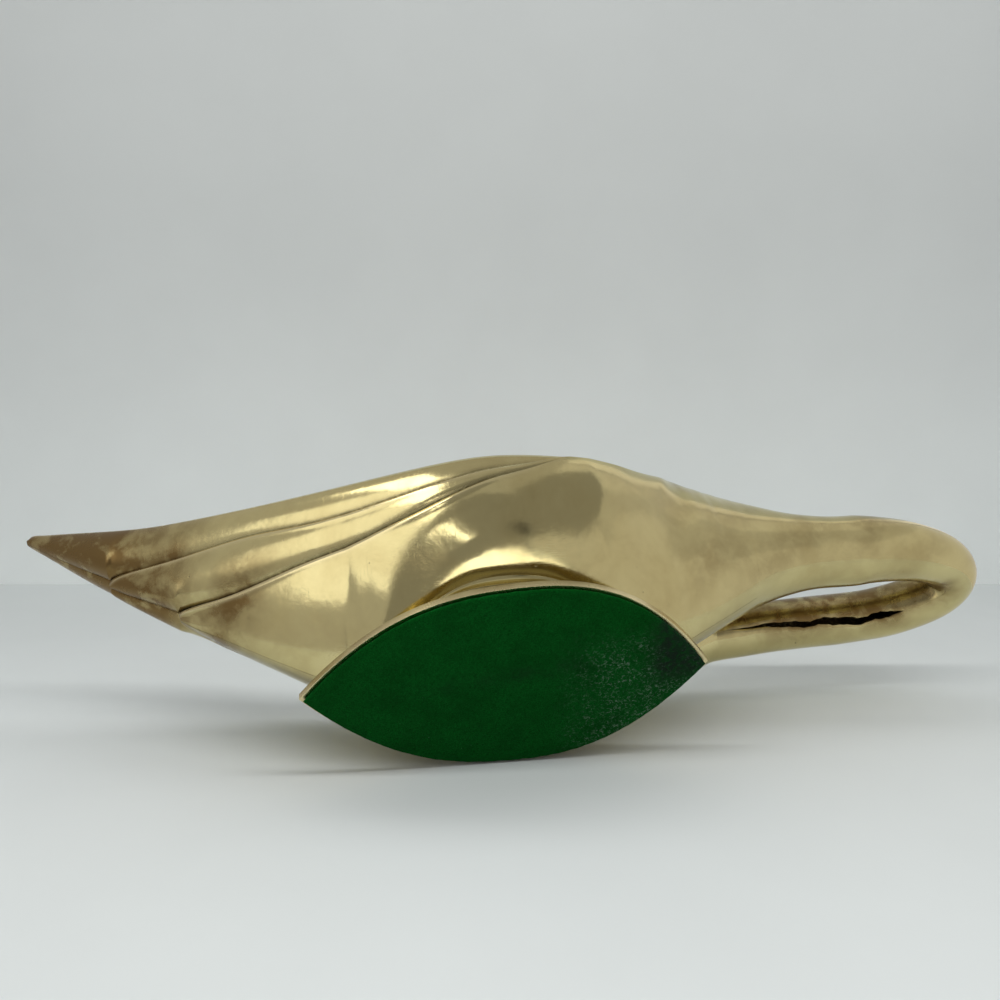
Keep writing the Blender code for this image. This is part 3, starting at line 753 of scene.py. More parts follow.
@dataclass
class Bowl:
    """The two cast halves of the bowl, with three overlapping feathers on each."""

    form: SwanForm
    rows: tuple[int, int, int] = (44, 26, 26)
    pedestal_rows: int = 14
    lip_round: float = 0.0004
    edge_bead: float = 0.00035
    edge_bead_width: float = 0.0009
    groove_width: float = 0.0011
    dent_depth: float = 0.00005
    hem_depth: float = 0.0034
    hem_bulge: float = 0.0008
    hem_share: float = 0.45
    notch_run: float = 0.003
    notch_step: float = 0.0005

    def stations(self) -> np.ndarray:
        """Where the bowl is cut into sections: closer together at the notches."""
        form = self.form
        second, first = -form.feather_notches[1], -form.feather_notches[0]
        step = self.notch_step
        spans = (
            (-form.tail_reach, second - step, 26),
            (second, first - step, 24),
            (first, -form.hull_aft, 44),
            (-form.hull_aft, form.feather_root, 62),
            (form.feather_root, form.hull_fore, 22),
            (form.hull_fore, form.mouth_fore, 30),
            (form.mouth_fore, form.neck_root_x, 10),
        )
        places = np.concatenate([np.linspace(start, end, count + 1) for start, end, count in spans])
        keep = np.concatenate(([True], np.diff(places) > 1e-7))
        return places[keep]

    def section(self, x: float) -> tuple[np.ndarray, np.ndarray, np.ndarray, np.ndarray]:
        """One half section of the shell.

        Args:
            x: where it is cut.

        Returns:
            The outer places, the inner places, the dirt in the grooves and the painted highlight at each outer
            place.
        """
        form = self.form
        lines = [0.0, max(form.feather_line(x, 0), 0.0), max(form.feather_line(x, 1), 0.0), 1.0]
        first, last = form.bowl_bottom(x), form.rim_point(x)
        length = math.hypot(last[0] - first[0], last[1] - first[1])
        height = last[1] - first[1]
        deepest = form.feather_step * max(form.feather_fade(x, 0), form.feather_fade(x, 1))
        place, out = form.pedestal(x, np.linspace(0.0, 1.0, self.pedestal_rows + 1))
        outer, inner = [place], [place - out * min(form.wall + deepest, 0.4 * height)]
        grime, rub = [np.zeros(len(place))], [np.zeros(len(place))]
        for feather, rows in enumerate(self.rows):
            low, high = lines[feather], lines[feather + 1]
            part = np.linspace(0.0, 1.0, rows + 1)
            part = 0.35 * part + 0.65 * smooth(part)
            up = low + (high - low) * part
            place, out = form.flank(x, up)
            relief, dirt, bright = np.zeros((3, rows + 1))
            from_low, to_high = (up - low) * length, (high - up) * length
            if feather:
                across = held((up - low) / max(high - low, 1e-6))
                relief += self.overlap(x, feather, across)
                dirt += self.edge_strength(x, feather - 1) * bell(from_low, self.groove_width)
            elif x < -form.hull_aft:
                after = bell(x + form.feather_notches[0] - 0.006, 0.009)
                relief += self.hem_bulge * after * (1.0 - smooth(part / 0.6))
            if feather < 2 and high > 0.0:
                strength, width = self.edge_strength(x, feather), self.edge_bead_width
                relief += strength * self.edge_bead * bell(to_high - width, width)
                relief -= strength * self.lip_round * bell(to_high, 0.45 * width)
                # painted highlight along the feather's upper edge
                bright += strength * bell(to_high - 0.5 * width, width)
            if feather == 2:
                relief -= self.lip_round * bell(to_high, 0.0006)
                # painted highlight along the rim
                bright += 0.5 * bell(to_high, 0.0010)
            rim_ease = 1.0 - smooth((up - 0.85) / 0.15)
            wall = np.minimum(form.wall + deepest * rim_ease, 0.4 * height)
            dent = self.dent_depth * ripple(np.full_like(up, x), place[:, 0], place[:, 1], 0.011, 0.8)
            dent = dent * smooth(np.minimum(from_low + 0.004 * (feather == 0), to_high) / 0.004)
            outer.append(place + out * (relief + dent)[:, None])
            inner.append(place - out * wall[:, None])
            grime.append(dirt)
            rub.append(bright)
        if not form.on_hull(x):
            start = 1 + next(index for index in range(3) if lines[index + 1] > 0.0)
            for block in (outer, inner):
                block[:start] = [np.repeat(block[start][:1], len(rows), axis=0) for rows in block[:start]]
        outside, inside = np.concatenate(outer), np.concatenate(inner)
        for points in (outside, inside):
            points[:, 0] = np.maximum(points[:, 0], 0.00006)
            points[:, 1] = np.clip(points[:, 1], form.hull_bottom, form.tail_tip_height)
        return outside, inside, np.concatenate(grime), np.concatenate(rub)

    def edge_strength(self, x: float, index: int) -> float:
        """How clearly a feather's upper edge shows: not at all aft of its notch or at the rim."""
        at_notch = float(smooth((x + self.form.feather_notches[index]) / self.notch_run))
        return float(smooth(3.0 * self.form.feather_fade(x, index))) * at_notch

    def overlap(self, x: float, feather: int, across: np.ndarray) -> np.ndarray:
        """The relief of a feather that comes out from under the one below it.

        Args:
            x: where the section is cut.
            feather: 1 for the middle feather, 2 for the upper one.
            across: how far across the feather, from 0 at its lower edge to 1 at its upper one.

        Returns:
            Its crown, less the step under the lower feather, or less the hem aft of the notch.
        """
        form = self.form
        fade, notch = form.feather_fade(x, feather - 1), -form.feather_notches[feather - 1]
        aft_end = -form.feather_notches[1] if feather == 1 else -form.tail_reach
        tip = float(smooth((x + form.tail_reach) / (0.2 * form.tail_reach)))
        crown = form.feather_crown * fade**2 * tip * 4.0 * across * (1.0 - across)
        ramp = min(max((x - aft_end) / (notch - aft_end), 0.0), 1.0)
        under = float(smooth((x - notch + 0.0005) / 0.004))
        low_part = 1.0 - smooth(across / self.hem_share)
        after = bell(x - aft_end - 0.005, 0.007) * (feather == 1)
        hem = self.hem_depth * ramp**1.5 * low_part - self.hem_bulge * after * low_part
        return crown - (under * form.feather_step * fade * (1.0 - across) ** 3 + (1.0 - under) * hem)

    def half(self, side: Side, node: str) -> bpy.types.Object:
        """Builds one half shell.

        Args:
            side: the swan's left or right.
            node: the solid that it stands for.

        Returns:
            The shell with dirt, tarnish and painted highlights marked on it.
        """
        outer, inner, marks = [], [], []
        for x in self.stations():
            outside, inside, grime, rub = self.section(float(x))
            rail = np.full(len(outside), x)
            for grid, (out, up) in ((outer, outside.T), (inner, inside.T)):
                grid.append(np.stack((rail, side.value * out, up), axis=1))
            marks.append(np.stack((grime, rub), axis=1))
        outer, inner, marks = np.array(outer), np.array(inner), np.array(marks)
        shell = walled_sheet(node + "_shell", outer, inner)
        flat = marks.transpose(1, 0, 2).reshape(-1, 2)
        count = len(flat)
        places = places_of(shell)
        values = np.zeros((len(places), 2))
        order = self.outer_order(places, outer)
        values[order:order + count] = flat
        grime = held(values[:, 0] + self.foot_dirt(places))
        paint(shell, grime=grime, rub=held(values[:, 1]), stain=self.stain(places))
        return tidy_mesh(shell, 38.0)

    def outer_order(self, places: np.ndarray, outer: np.ndarray) -> int:
        """Where the outer face's corners start in the joined mesh."""
        first = outer[0, 0]
        count = outer.shape[0] * outer.shape[1]
        if np.allclose(places[0], first, atol=1e-6) and np.allclose(places[1], outer[1, 0], atol=1e-6):
            return 0
        return len(places) - count

    def foot_dirt(self, places: np.ndarray) -> np.ndarray:
        """Dirt that collects along the joint with the plate."""
        up = places[:, 2] - self.form.hull_bottom
        on_foot = smooth((self.form.hull_fore + 0.004 - np.abs(places[:, 0])) / 0.006)
        return 0.85 * on_foot * bell(up - 0.0016, 0.0010)

    def stain(self, places: np.ndarray) -> np.ndarray:
        """Brown tarnish near the tail tip, the feather ends and the breast."""
        x, y, z = places.T
        tail = smooth((-0.084 - x) / 0.056) * (1.15 + 0.25 * ripple(x, y, z, 0.013, 0.4))
        ends = bell(x + 0.117, 0.012) * bell(z - 0.0640, 0.010)
        ends = ends + bell(x + 0.092, 0.014) * bell(z - 0.040, 0.009)
        tail = np.maximum(tail, ends * (1.10 + 0.3 * ripple(x, y, z, 0.009, 1.3)))
        breast = smooth((x - 0.050) / 0.030) * (0.26 + 0.22 * ripple(x, 2.0 * y, 2.0 * z, 0.012, 2.0))
        inside = 0.25 + 0.2 * ripple(x, y, z, 0.02, 1.1)
        keel = bell(np.abs(y), 0.010) * smooth((-0.05 - x) / 0.03) * 0.25
        return np.clip(np.maximum(np.maximum(tail, breast), 0.3 * inside) + keel, 0.0, 1.4)

    def build(self) -> list[bpy.types.Object]:
        """Makes both halves with their finish."""
        brass = BrassFinish("polished_cast_brass").make()
        halves = ((Side.LEFT, "body_left_half"), (Side.RIGHT, "body_right_half"))
        return [hand_over(self.half(side, node), brass, "body_brass", node) for side, node in halves]


@dataclass
class Foot:
    """The leaf-shaped plate, the braze round the bowl's foot, and the felt."""

    form: SwanForm
    plate_steps: int = 96
    plate_edge: float = 0.0005
    bead_radius: float = 0.0006
    bead_steps: int = 400
    bead_sides: int = 10
    felt_rings: int = 60
    felt_columns: int = 190
    felt_edge: float = 0.0009
    fuzz: float = 0.00022

    def outline(self, length: float, width: float, count: int) -> np.ndarray:
        """The leaf outline as a closed run of (x, y)."""
        turns = np.linspace(0.0, math.pi, count + 1)
        places = -0.5 * length * np.cos(turns)
        half = self.form.foot_half_width(places, length, width)
        near = np.stack((places, -half), axis=1)
        far = np.stack((places, half), axis=1)[::-1][1:-1]
        return np.concatenate((near, far))

    def plate(self) -> bpy.types.Object:
        """The plate: a disc of many corners, moved to the leaf outline, extruded and bevelled."""
        form = self.form
        rim = self.outline(form.foot_length, form.foot_width, self.plate_steps)
        deselect_all()
        bpy.ops.mesh.primitive_circle_add(vertices=len(rim), radius=1.0, fill_type="NGON")
        plate = named_active("foot_plate_leaf")
        for vertex, (x, y) in zip(plate.data.vertices, rim):
            vertex.co = (x, y, form.plate_bottom)
        bpy.ops.object.mode_set(mode="EDIT")
        bpy.ops.mesh.select_all(action="SELECT")
        rise = (0.0, 0.0, form.plate_thickness)
        bpy.ops.mesh.extrude_region_move(TRANSFORM_OT_translate={"value": rise})
        bpy.ops.object.mode_set(mode="OBJECT")
        tidy_mesh(plate, 30.0)
        bevel = plate.modifiers.new("edge", "BEVEL")
        bevel.width = self.plate_edge
        bevel.segments = 3
        bevel.limit_method = "ANGLE"
        bevel.angle_limit = math.radians(60.0)
        bevel.use_clamp_overlap = True
        bpy.ops.object.modifier_apply(modifier="edge")
        places = places_of(plate)
        x, y, z = places.T
        half = form.foot_half_width(x, form.foot_length, form.foot_width)
        inward = held((half - np.abs(y)) / 0.004)
        # the top is painted dark inward of its edge: painted shade in the gap under the bowl; the lower outer
        # edge is painted paler: a painted highlight
        paint(plate, grime=held(0.9 * smooth(inward * 2.0) * (z > form.plate_top - 0.0006)),
              stain=held(0.35 + 0.3 * ripple(x, y, z, 0.012, 1.0)),
              rub=0.9 * bell(z - form.plate_bottom, 0.0006) * (1.0 - smooth(inward * 3.0)))
        return tidy_mesh(plate, 40.0)

    def bead(self) -> bpy.types.Object:
        """The uneven braze that runs round the bowl's foot on the plate."""
        form = self.form
        steps, sides = self.bead_steps, self.bead_sides
        turns = np.linspace(0.0, 2.0 * math.pi, steps, endpoint=False)
        cosine, sine = np.cos(turns), np.sin(turns)
        reach = np.where(cosine < 0.0, form.hull_aft, form.hull_fore)
        x = cosine * reach
        y = np.sign(sine) * form.hull_half_width(np.abs(cosine))
        y = np.where(np.abs(sine) < 1e-6, 0.0, y)
        path = np.stack((x, y), axis=1)
        ahead = np.roll(path, -1, axis=0) - np.roll(path, 1, axis=0)
        ahead /= np.linalg.norm(ahead, axis=1)[:, None]
        out = np.stack((ahead[:, 1], -ahead[:, 0]), axis=1)
        ring = np.linspace(0.0, 2.0 * math.pi, sides + 1)
        lumps = 1.0 + 0.30 * ripple(path[:, 0], path[:, 1], 0.0 * x, 0.0035, 0.7)
        lumps = lumps + 0.16 * ripple(path[:, 0], path[:, 1], 0.0 * x, 0.0012, 1.9)
        points = np.zeros((steps + 1, sides + 1, 3))
        for index in range(steps + 1):
            at = index % steps
            radius = self.bead_radius * lumps[at]
            away = (np.cos(ring) - 0.15) * radius
            points[index, :, :2] = path[at] + np.outer(away, out[at])
            points[index, :, 2] = form.plate_top + (0.55 + np.sin(ring)) * radius * 0.8
        points[:, :, 2] = np.maximum(points[:, :, 2], form.plate_top + 0.0001)
        bead = sheet_of_points("foot_braze_bead", points)
        tidy_mesh(bead, 80.0)
        places = places_of(bead)
        low = places[:, 2] - form.plate_top
        paint(bead, grime=held(bell(low - 0.0002, 0.0006) * 0.9),
              stain=held(0.35 + 0.5 * ripple(*places.T, 0.006, 0.4)), rub=np.zeros(len(places)))
        return bead

    def felt(self) -> bpy.types.Object:
        """The felt: a leaf of fine rows with rounded edges and a nap raised on its underside."""
        form = self.form
        length, width = form.felt_size
        columns, rows = self.felt_columns, self.felt_rings
        run = -0.5 * length * np.cos(np.linspace(0.0, math.pi, columns + 1))
        across = np.sin(np.linspace(-0.5 * math.pi, 0.5 * math.pi, 2 * rows + 1))
        half = form.foot_half_width(run, length, width)
        x = np.repeat(run[:, None], len(across), axis=1)
        y = half[:, None] * across[None, :]
        edge = np.minimum(half[:, None] * (1.0 - np.abs(across[None, :])), 0.5 * length - np.abs(x))
        drop = held(1.0 - edge / self.felt_edge)
        middle = 0.5 * form.felt_thickness
        nap = self.fuzz * (0.5 + 0.5 * ripple(x, y, 0.0 * x, 0.0011, 0.3))
        nap = nap + 0.6 * self.fuzz * (0.5 + 0.5 * ripple(x, y, 0.0 * x, 0.0004, 2.2))
        rounded = np.sqrt(held(1.0 - drop**2))
        lower, upper = middle - (middle - nap) * rounded, middle + middle * rounded
        fray = 1.0 + 0.0035 * ripple(x, y, 0.0 * x, 0.0016, 1.1)
        outer = np.stack((x, y * fray, lower), axis=2)
        inner = np.stack((x, y * fray, upper), axis=2)
        felt = walled_sheet("felt_pad_cloth", outer, inner)
        places = places_of(felt)
        px, py = places[:, 0], places[:, 1]
        dust = smooth((px - 0.012) / 0.030) * smooth((py + 0.024) / 0.022)
        dust = np.maximum(dust, 0.8 * bell(px - 0.050, 0.014) * bell(py - 0.006, 0.012))
        worn = smooth((px - 0.044) / 0.010) * smooth((0.014 - py) / 0.016)
        crease = bell(py + 0.003 + 0.1 * px, 0.0035) * bell(px - 0.004, 0.030)
        crease = crease * (0.5 + 0.5 * ripple(px, py, 0.0 * px, 0.004, 0.6))
        dust = dust * (1.0 - 0.85 * worn)
        paint(felt, dust=held(dust), worn=held(np.maximum(worn, 0.4 * crease)))
        return tidy_mesh(felt, 75.0, 1e-6)

    def build(self) -> list[bpy.types.Object]:
        """Makes the plate, the braze and the felt with their finishes."""
        form = self.form
        plain = BrassFinish("plate_brass", dull=(0.50, 0.39, 0.17), gloss=0.16, tarnish=0.8).make()
        braze = BrassFinish("braze_brass", dull=(0.52, 0.38, 0.15), gloss=0.10, haze=0.10, tarnish=0.9).make()
        felt = self.felt()
        pieces = [
            hand_over(self.plate(), plain, "plate_brass", "foot_plate"),
            hand_over(self.bead(), braze, "plate_brass"),
            hand_over(felt, FeltFinish().make(), "felt", "felt_pad"),
        ]
        length, width = form.felt_size
        run = np.linspace(-0.5 * length, 0.5 * length, 400)
        widths = 2.0 * form.foot_half_width(run, length, width)
        return pieces


@dataclass
class Neck:
    """The hollow neck: two half tubes that turn back in a loop, with one seam left open."""

    form: SwanForm
    bend_radius: float = 0.0105
    far_radius: float = 0.0109
    wall: float = 0.0022
    loop_rise: float = 0.0035
    bend_reach: float = 0.0485
    far_length: float = 0.053
    spacing_share: float = 0.648
    seam_tilt: float = math.radians(37.0)
    seam_twist: float = math.radians(14.0)
    slot_width: float = 0.0040
    slot_length: float = 0.079
    slot_end_margin: float = 0.004
    lump: float = 0.00012
    edge_round: float = 0.00025
    edge_run: float = 0.0005
    sides: int = 44
    steps: tuple[int, int, int] = (60, 90, 60)

    @property
    def spacing(self) -> float:
        """The distance between the two strands' middle lines."""
        return self.spacing_share * self.form.rim_half_width

    def axis(self) -> np.ndarray:
        """The neck's middle line: rows of x, y, z, radius across and radius up."""
        form = self.form
        near_radius, near_height = form.neck_radius, form.neck_near_height
        far_height = near_height + self.loop_rise
        bend_x = form.neck_root_x + form.neck_near_length
        near, bend, far = self.steps
        places = []
        for step in range(near):
            x = form.neck_root_x + form.neck_near_length * step / near
            height, wide, tall = form.neck_root(x)
            places.append((x, 0.0, height, wide, tall))
        for step in range(bend + 1):
            along = step / bend
            turn = math.pi * along
            plain = near_radius + (self.far_radius - near_radius) * float(smooth(along))
            slim = plain + (self.bend_radius - plain) * math.sin(turn)
            height = near_height + self.loop_rise * float(smooth(along**1.5))
            side = 0.5 * self.spacing * (1.0 - math.cos(turn))
            places.append((bend_x + self.bend_reach * math.sin(turn), side, height, slim, slim))
        for step in range(1, far + 1):
            along = step / far
            side = self.spacing + 0.06 * self.far_length * along**2
            x = bend_x - self.far_length * along
            places.append((x, side, far_height, self.far_radius, self.far_radius))
        return np.array(places)

    def frames(self, axis: np.ndarray) -> tuple[np.ndarray, np.ndarray]:
        """For each place of the neck: the ways towards the loop's inside and up, square to the axis."""
        ahead = np.gradient(axis[:, :3], axis=0)
        for _ in range(12):
            ahead[1:-1] = (ahead[:-2] + 2.0 * ahead[1:-1] + ahead[2:]) / 4.0
        ahead /= np.linalg.norm(ahead, axis=1)[:, None]
        ahead[0] = (1.0, 0.0, 0.0)
        inward = np.cross(np.array((0.0, 0.0, 1.0)), ahead)
        inward /= np.linalg.norm(inward, axis=1)[:, None]
        return inward, np.cross(ahead, inward)

    def opening(self, along: np.ndarray, total: float, edge: SeamEdge) -> np.ndarray:
        """Half the angle that the open seam takes at places on the neck.

        Args:
            along: distance along the neck.
            total: the neck's whole length.
            edge: which half it is for, because its two edges are ragged in their own ways.

        Returns:
            The angle at each place, 0 where the seam is closed.
        """
        end = total - self.slot_end_margin
        start = end - self.slot_length
        part = (along - start) / self.slot_length
        phase = 0.0 if edge is SeamEdge.FIRST else 2.4
        ragged = 1.0 + 0.35 * np.sin(19.0 * part + phase) + 0.2 * np.sin(41.0 * part + 1.0 + phase)
        ragged = ragged + 0.10 * np.sin(113.0 * part + 2.0 * phase) + 0.06 * np.sin(205.0 * part + phase)
        closing = held(np.minimum(np.minimum(9.0 * part, 1.6 * (1.0 - part) + 0.15), 1.0))
        closing = closing * held(6.0 * (1.0 - part))
        return 0.5 * self.slot_width / self.form.neck_radius * ragged * closing

    def half(self, node: str, first_turn: float, edge: SeamEdge) -> bpy.types.Object:
        """Builds one half of the neck's wall.

        Args:
            node: the solid that it stands for.
            first_turn: where round the tube it starts.
            edge: which of its edges the open seam is in.

        Returns:
            The half tube with its marks painted on.
        """
        axis = self.axis()
        inward, upward = self.frames(axis)
        gaps = np.linalg.norm(np.diff(axis[:, :3], axis=0), axis=1)
        lengths = np.concatenate(([0.0], np.cumsum(gaps)))
        opening = self.opening(lengths, lengths[-1], edge)
        outer, inner = [], []
        grid = np.linspace(0.0, 1.0, self.sides + 1)
        grid = 0.5 * grid + 0.5 * smooth(grid)
        far_run = self.far_length + 0.010
        twist = self.seam_twist * smooth((lengths - lengths[-1] + far_run) / far_run)
        flush = smooth((lengths[-1] - lengths) / 0.004) * smooth(lengths / 0.010)
        for index, (x, y, z, wide, tall) in enumerate(axis):
            seam = 0.00003 / min(wide, tall)
            opened = [opening[index] if edge is which else 0.0 for which in (SeamEdge.FIRST, SeamEdge.LAST)]
            start = first_turn + twist[index] + seam + opened[0]
            end = first_turn + twist[index] + math.pi - seam - opened[1]
            turn = start + (end - start) * grid
            centre = np.array((x, y, z))
            across, rise = y + np.sin(turn) * wide, z + np.cos(turn) * tall
            lumps = self.lump * flush[index] * ripple(x + 0.0 * turn, across, rise, 0.007, 0.5)
            edge_soft = bell((turn - start) * wide, self.edge_run) + bell((end - turn) * wide, self.edge_run)
            edge_soft = self.edge_round * edge_soft
            edge_soft = edge_soft * min(opening[index] * 40.0, 1.0) + 0.00002 * flush[index]
            if index < self.steps[0]:
                inward[index], upward[index] = (0.0, 1.0, 0.0), (0.0, 0.0, 1.0)
                wrapped = (turn + math.pi) % (2.0 * math.pi) - math.pi
                section, out = self.form.flank(float(x), np.abs(wrapped) / math.pi)
                section[:, 1] -= z
                signs = np.stack((np.sign(wrapped), np.ones_like(turn)), axis=1)
                section, out = section * signs, out * signs
            else:
                out = np.stack((np.sin(turn), -np.cos(turn)), axis=1)
                section = out * np.array((wide, tall))
            for points, thinner in ((outer, edge_soft - lumps), (inner, np.full_like(turn, self.wall))):
                across, rise = (section - out * thinner[:, None]).T
                points.append(centre + across[:, None] * inward[index] + rise[:, None] * upward[index])
        outer, inner = np.array(outer), np.array(inner)
        half = walled_sheet(node + "_tube", outer, inner)
        places = places_of(half)
        self.mark(half, places, axis, lengths)
        return tidy_mesh(half, 50.0)

    def mark(self, half: bpy.types.Object, places: np.ndarray, axis: np.ndarray, lengths: np.ndarray) -> None:
        """Paints painted shade inside the tube, dark and brown; paints the inner face of the bend browner;
        paints painted shade on the far strand's side that faces the near strand; and adds uneven brown stain.
        """
        nearest = np.empty(len(places), dtype=int)
        for start in range(0, len(places), 4000):
            block = places[start:start + 4000]
            gap = ((block[:, None, :] - axis[None, :, :3]) ** 2).sum(axis=2)
            nearest[start:start + 4000] = gap.argmin(axis=1)
        reach = np.linalg.norm(places - axis[nearest, :3], axis=1)
        thin = np.minimum(axis[nearest, 3], axis[nearest, 4])
        # inside the tube: painted shade
        within = smooth((thin - 0.0008 - reach) / 0.0008)
        x, y, z = places.T
        bend = bell(x - 0.186, 0.010) * bell(y - 0.5 * self.spacing, 0.014)
        gap_side = smooth((0.012 - np.abs(y - 0.5 * self.spacing)) / 0.006)
        near_side = smooth((0.010 - y) / 0.010) * smooth((0.190 - x) / 0.030)
        # the far strand's side that faces the near strand: painted shade
        far_inside = bell(y - self.spacing + self.far_radius, 0.007) * smooth((0.186 - x) / 0.02)
        spot = bell(x - 0.155, 0.012) * smooth((-y) / 0.01) * (0.5 + 0.5 * ripple(x, y, z, 0.006, 1.0))
        stain = 0.12 + 0.14 * near_side + 0.22 * ripple(x, 2.0 * y, 2.0 * z, 0.012, 2.0)
        stain = stain + 0.75 * bend * gap_side + 1.2 * far_inside + 0.35 * spot
        # the inside of the tube is painted dark and brown: painted shade
        paint(half, grime=held(within * 0.85), stain=held(stain + within), rub=np.zeros(len(places)))

    def build(self) -> list[bpy.types.Object]:
        """Makes both halves of the neck with their finish."""
        brass = BrassFinish("worn_neck_brass").make()
        inner = self.half("neck_inner_half", self.seam_tilt, SeamEdge.FIRST)
        outer = self.half("neck_outer_half", self.seam_tilt + math.pi, SeamEdge.LAST)
        return [
            hand_over(inner, brass, "neck_brass", "neck_inner_half"),
            hand_over(outer, brass, "neck_brass", "neck_outer_half"),
        ]


@dataclass
class Head:
    """The swan's head and bill, laid back against the left flank."""

    neck: Neck
    half_width: float = 0.0138
    half_height: float = 0.0142
    length: float = 0.030
    bill_length: float = 0.026
    bill_half_width: float = 0.0062
    bill_half_height: float = 0.0040
    turn: float = math.radians(11.0)
    drop: float = math.radians(10.0)
    inset: float = 0.0001
    bill_root_scale: tuple[float, float] = (1.15, 1.5)
    bill_taper: tuple[float, float] = (0.25, 0.8)
    eye_place: float = 0.52
    eye_turn: float = 0.55
    eye_height: float = 0.0011
    eye_hollow: float = 0.0005
    mouth_depth: float = 0.00055
    knob_height: float = 0.0016
    rings: int = 110
    sides: int = 72

    def build(self) -> list[bpy.types.Object]:
        """Makes the head as a closed run of rings with eyes, a knob and the line of the mouth.

        Returns:
            The head alone, in a list.
        """
        neck, axis = self.neck, self.neck.axis()
        ahead = axis[-1, :3] - axis[-2, :3]
        whole = self.length + self.bill_length
        lap = whole / self.rings
        place = axis[-1, :3] - ahead / np.linalg.norm(ahead) * lap
        aim = math.atan2(ahead[1], -ahead[0])
        angles = np.linspace(0.0, 2.0 * math.pi, self.sides + 1)
        rings, marks = [], []
        for step in range(self.rings + 1):
            part = step / self.rings
            along = part * whole - lap
            turn = aim + self.turn * float(smooth(along / self.length))
            drop = self.drop * float(smooth(along / self.length))
            level = math.cos(drop)
            way = np.array((-math.cos(turn) * level, math.sin(turn) * level, -math.sin(drop)))
            if step:
                place = place + way * whole / self.rings
            side = np.cross(way, (0.0, 0.0, 1.0))
            side /= np.linalg.norm(side)
            up = np.cross(side, way)
            wide, tall = self.girth(along)
            if not step:
                wide, tall = wide - self.inset, tall - self.inset
            eye_run = along - self.eye_place * self.length
            relief = self.eye_height * bell(eye_run, 0.0018) * self.eyes(angles, 0.14)
            relief = relief - self.eye_hollow * bell(eye_run, 0.0030) * self.eyes(angles, 0.30)
            on_bill = float(smooth((along - 0.86 * self.length) / 0.004))
            on_bill = on_bill * (1.0 - float(smooth((part - 0.93) / 0.05)))
            mouth = bell(np.abs(np.sin(angles)) + 0.25, 0.34) * on_bill
            knob = bell(along - 0.90 * self.length, 0.0035) * bell(angles - 0.5 * math.pi, 0.45)
            relief = relief - self.mouth_depth * mouth + self.knob_height * knob
            ring = place + np.outer((wide + relief) * np.cos(angles), side)
            ring = ring + np.outer((tall + relief) * np.sin(angles), up)
            if not step:
                rings.append(np.repeat(place[None, :], len(angles), axis=0))
                marks.append(np.zeros(len(angles)))
            if step == self.rings:
                ring = np.repeat(place[None, :], len(angles), axis=0)
            rings.append(ring)
            marks.append(held(0.8 * mouth + 0.5 * bell(eye_run, 0.004) * self.eyes(angles, 0.25)))
        head = sheet_of_points("head_cast", np.array(rings))
        places = places_of(head)
        paint(head, grime=np.array(marks).T.reshape(-1),
              stain=held(0.2 + 0.25 * ripple(*places.T, 0.007, 0.9)), rub=np.zeros(len(places)))
        tidy_mesh(head, 60.0, 5e-6)
        brass = BrassFinish("head_cast_brass").make()
        return [hand_over(head, brass, "head_brass", "head")]

    def eyes(self, angles: np.ndarray, width: float) -> np.ndarray:
        """Two soft bumps round the head, one on either side, where the eyes are."""
        return bell(angles - self.eye_turn, width) + bell(angles - math.pi + self.eye_turn, width)

    def girth(self, along: float) -> tuple[float, float]:
        """The head's half width and half height at a distance from the neck's end."""
        neck = self.neck
        along = max(along, 0.0)
        if along < self.length:
            swell = math.sin(math.pi * along / self.length) ** 2
            narrowing = float(smooth(2.0 * along / self.length - 1.0))
            wide = neck.far_radius + (self.half_width - neck.far_radius) * swell
            tall = neck.far_radius + (self.half_height - neck.far_radius) * swell
            wide += (self.bill_root_scale[0] * self.bill_half_width - wide) * narrowing
            tall += (self.bill_root_scale[1] * self.bill_half_height - tall) * narrowing
            return wide, tall
        bill = (along - self.length) / self.bill_length
        tip = math.sqrt(max(1.0 - bill**4, 0.0))
        wide = self.bill_half_width * max((self.bill_root_scale[0] - self.bill_taper[0] * bill) * tip, 0.05)
        tall = self.bill_half_height * max((self.bill_root_scale[1] - self.bill_taper[1] * bill) * tip, 0.05)
        return wide, tall


class Tone(Enum):
    """The pale colours of the studio box."""

    FLOOR = (0.690, 0.724, 0.724)
    BACK = (0.740, 0.768, 0.762)
    CARD = (1.0, 0.985, 0.955)
    LAMP = (1.0, 1.0, 0.985)


@dataclass(frozen=True)
class Card:
    """A flat glowing or dull patch of the box that the brass mirrors.

    Its corners are (right, ahead, up) from the camera.
    """

    name: str
    level: float
    corners: tuple[tuple[float, float, float], ...]


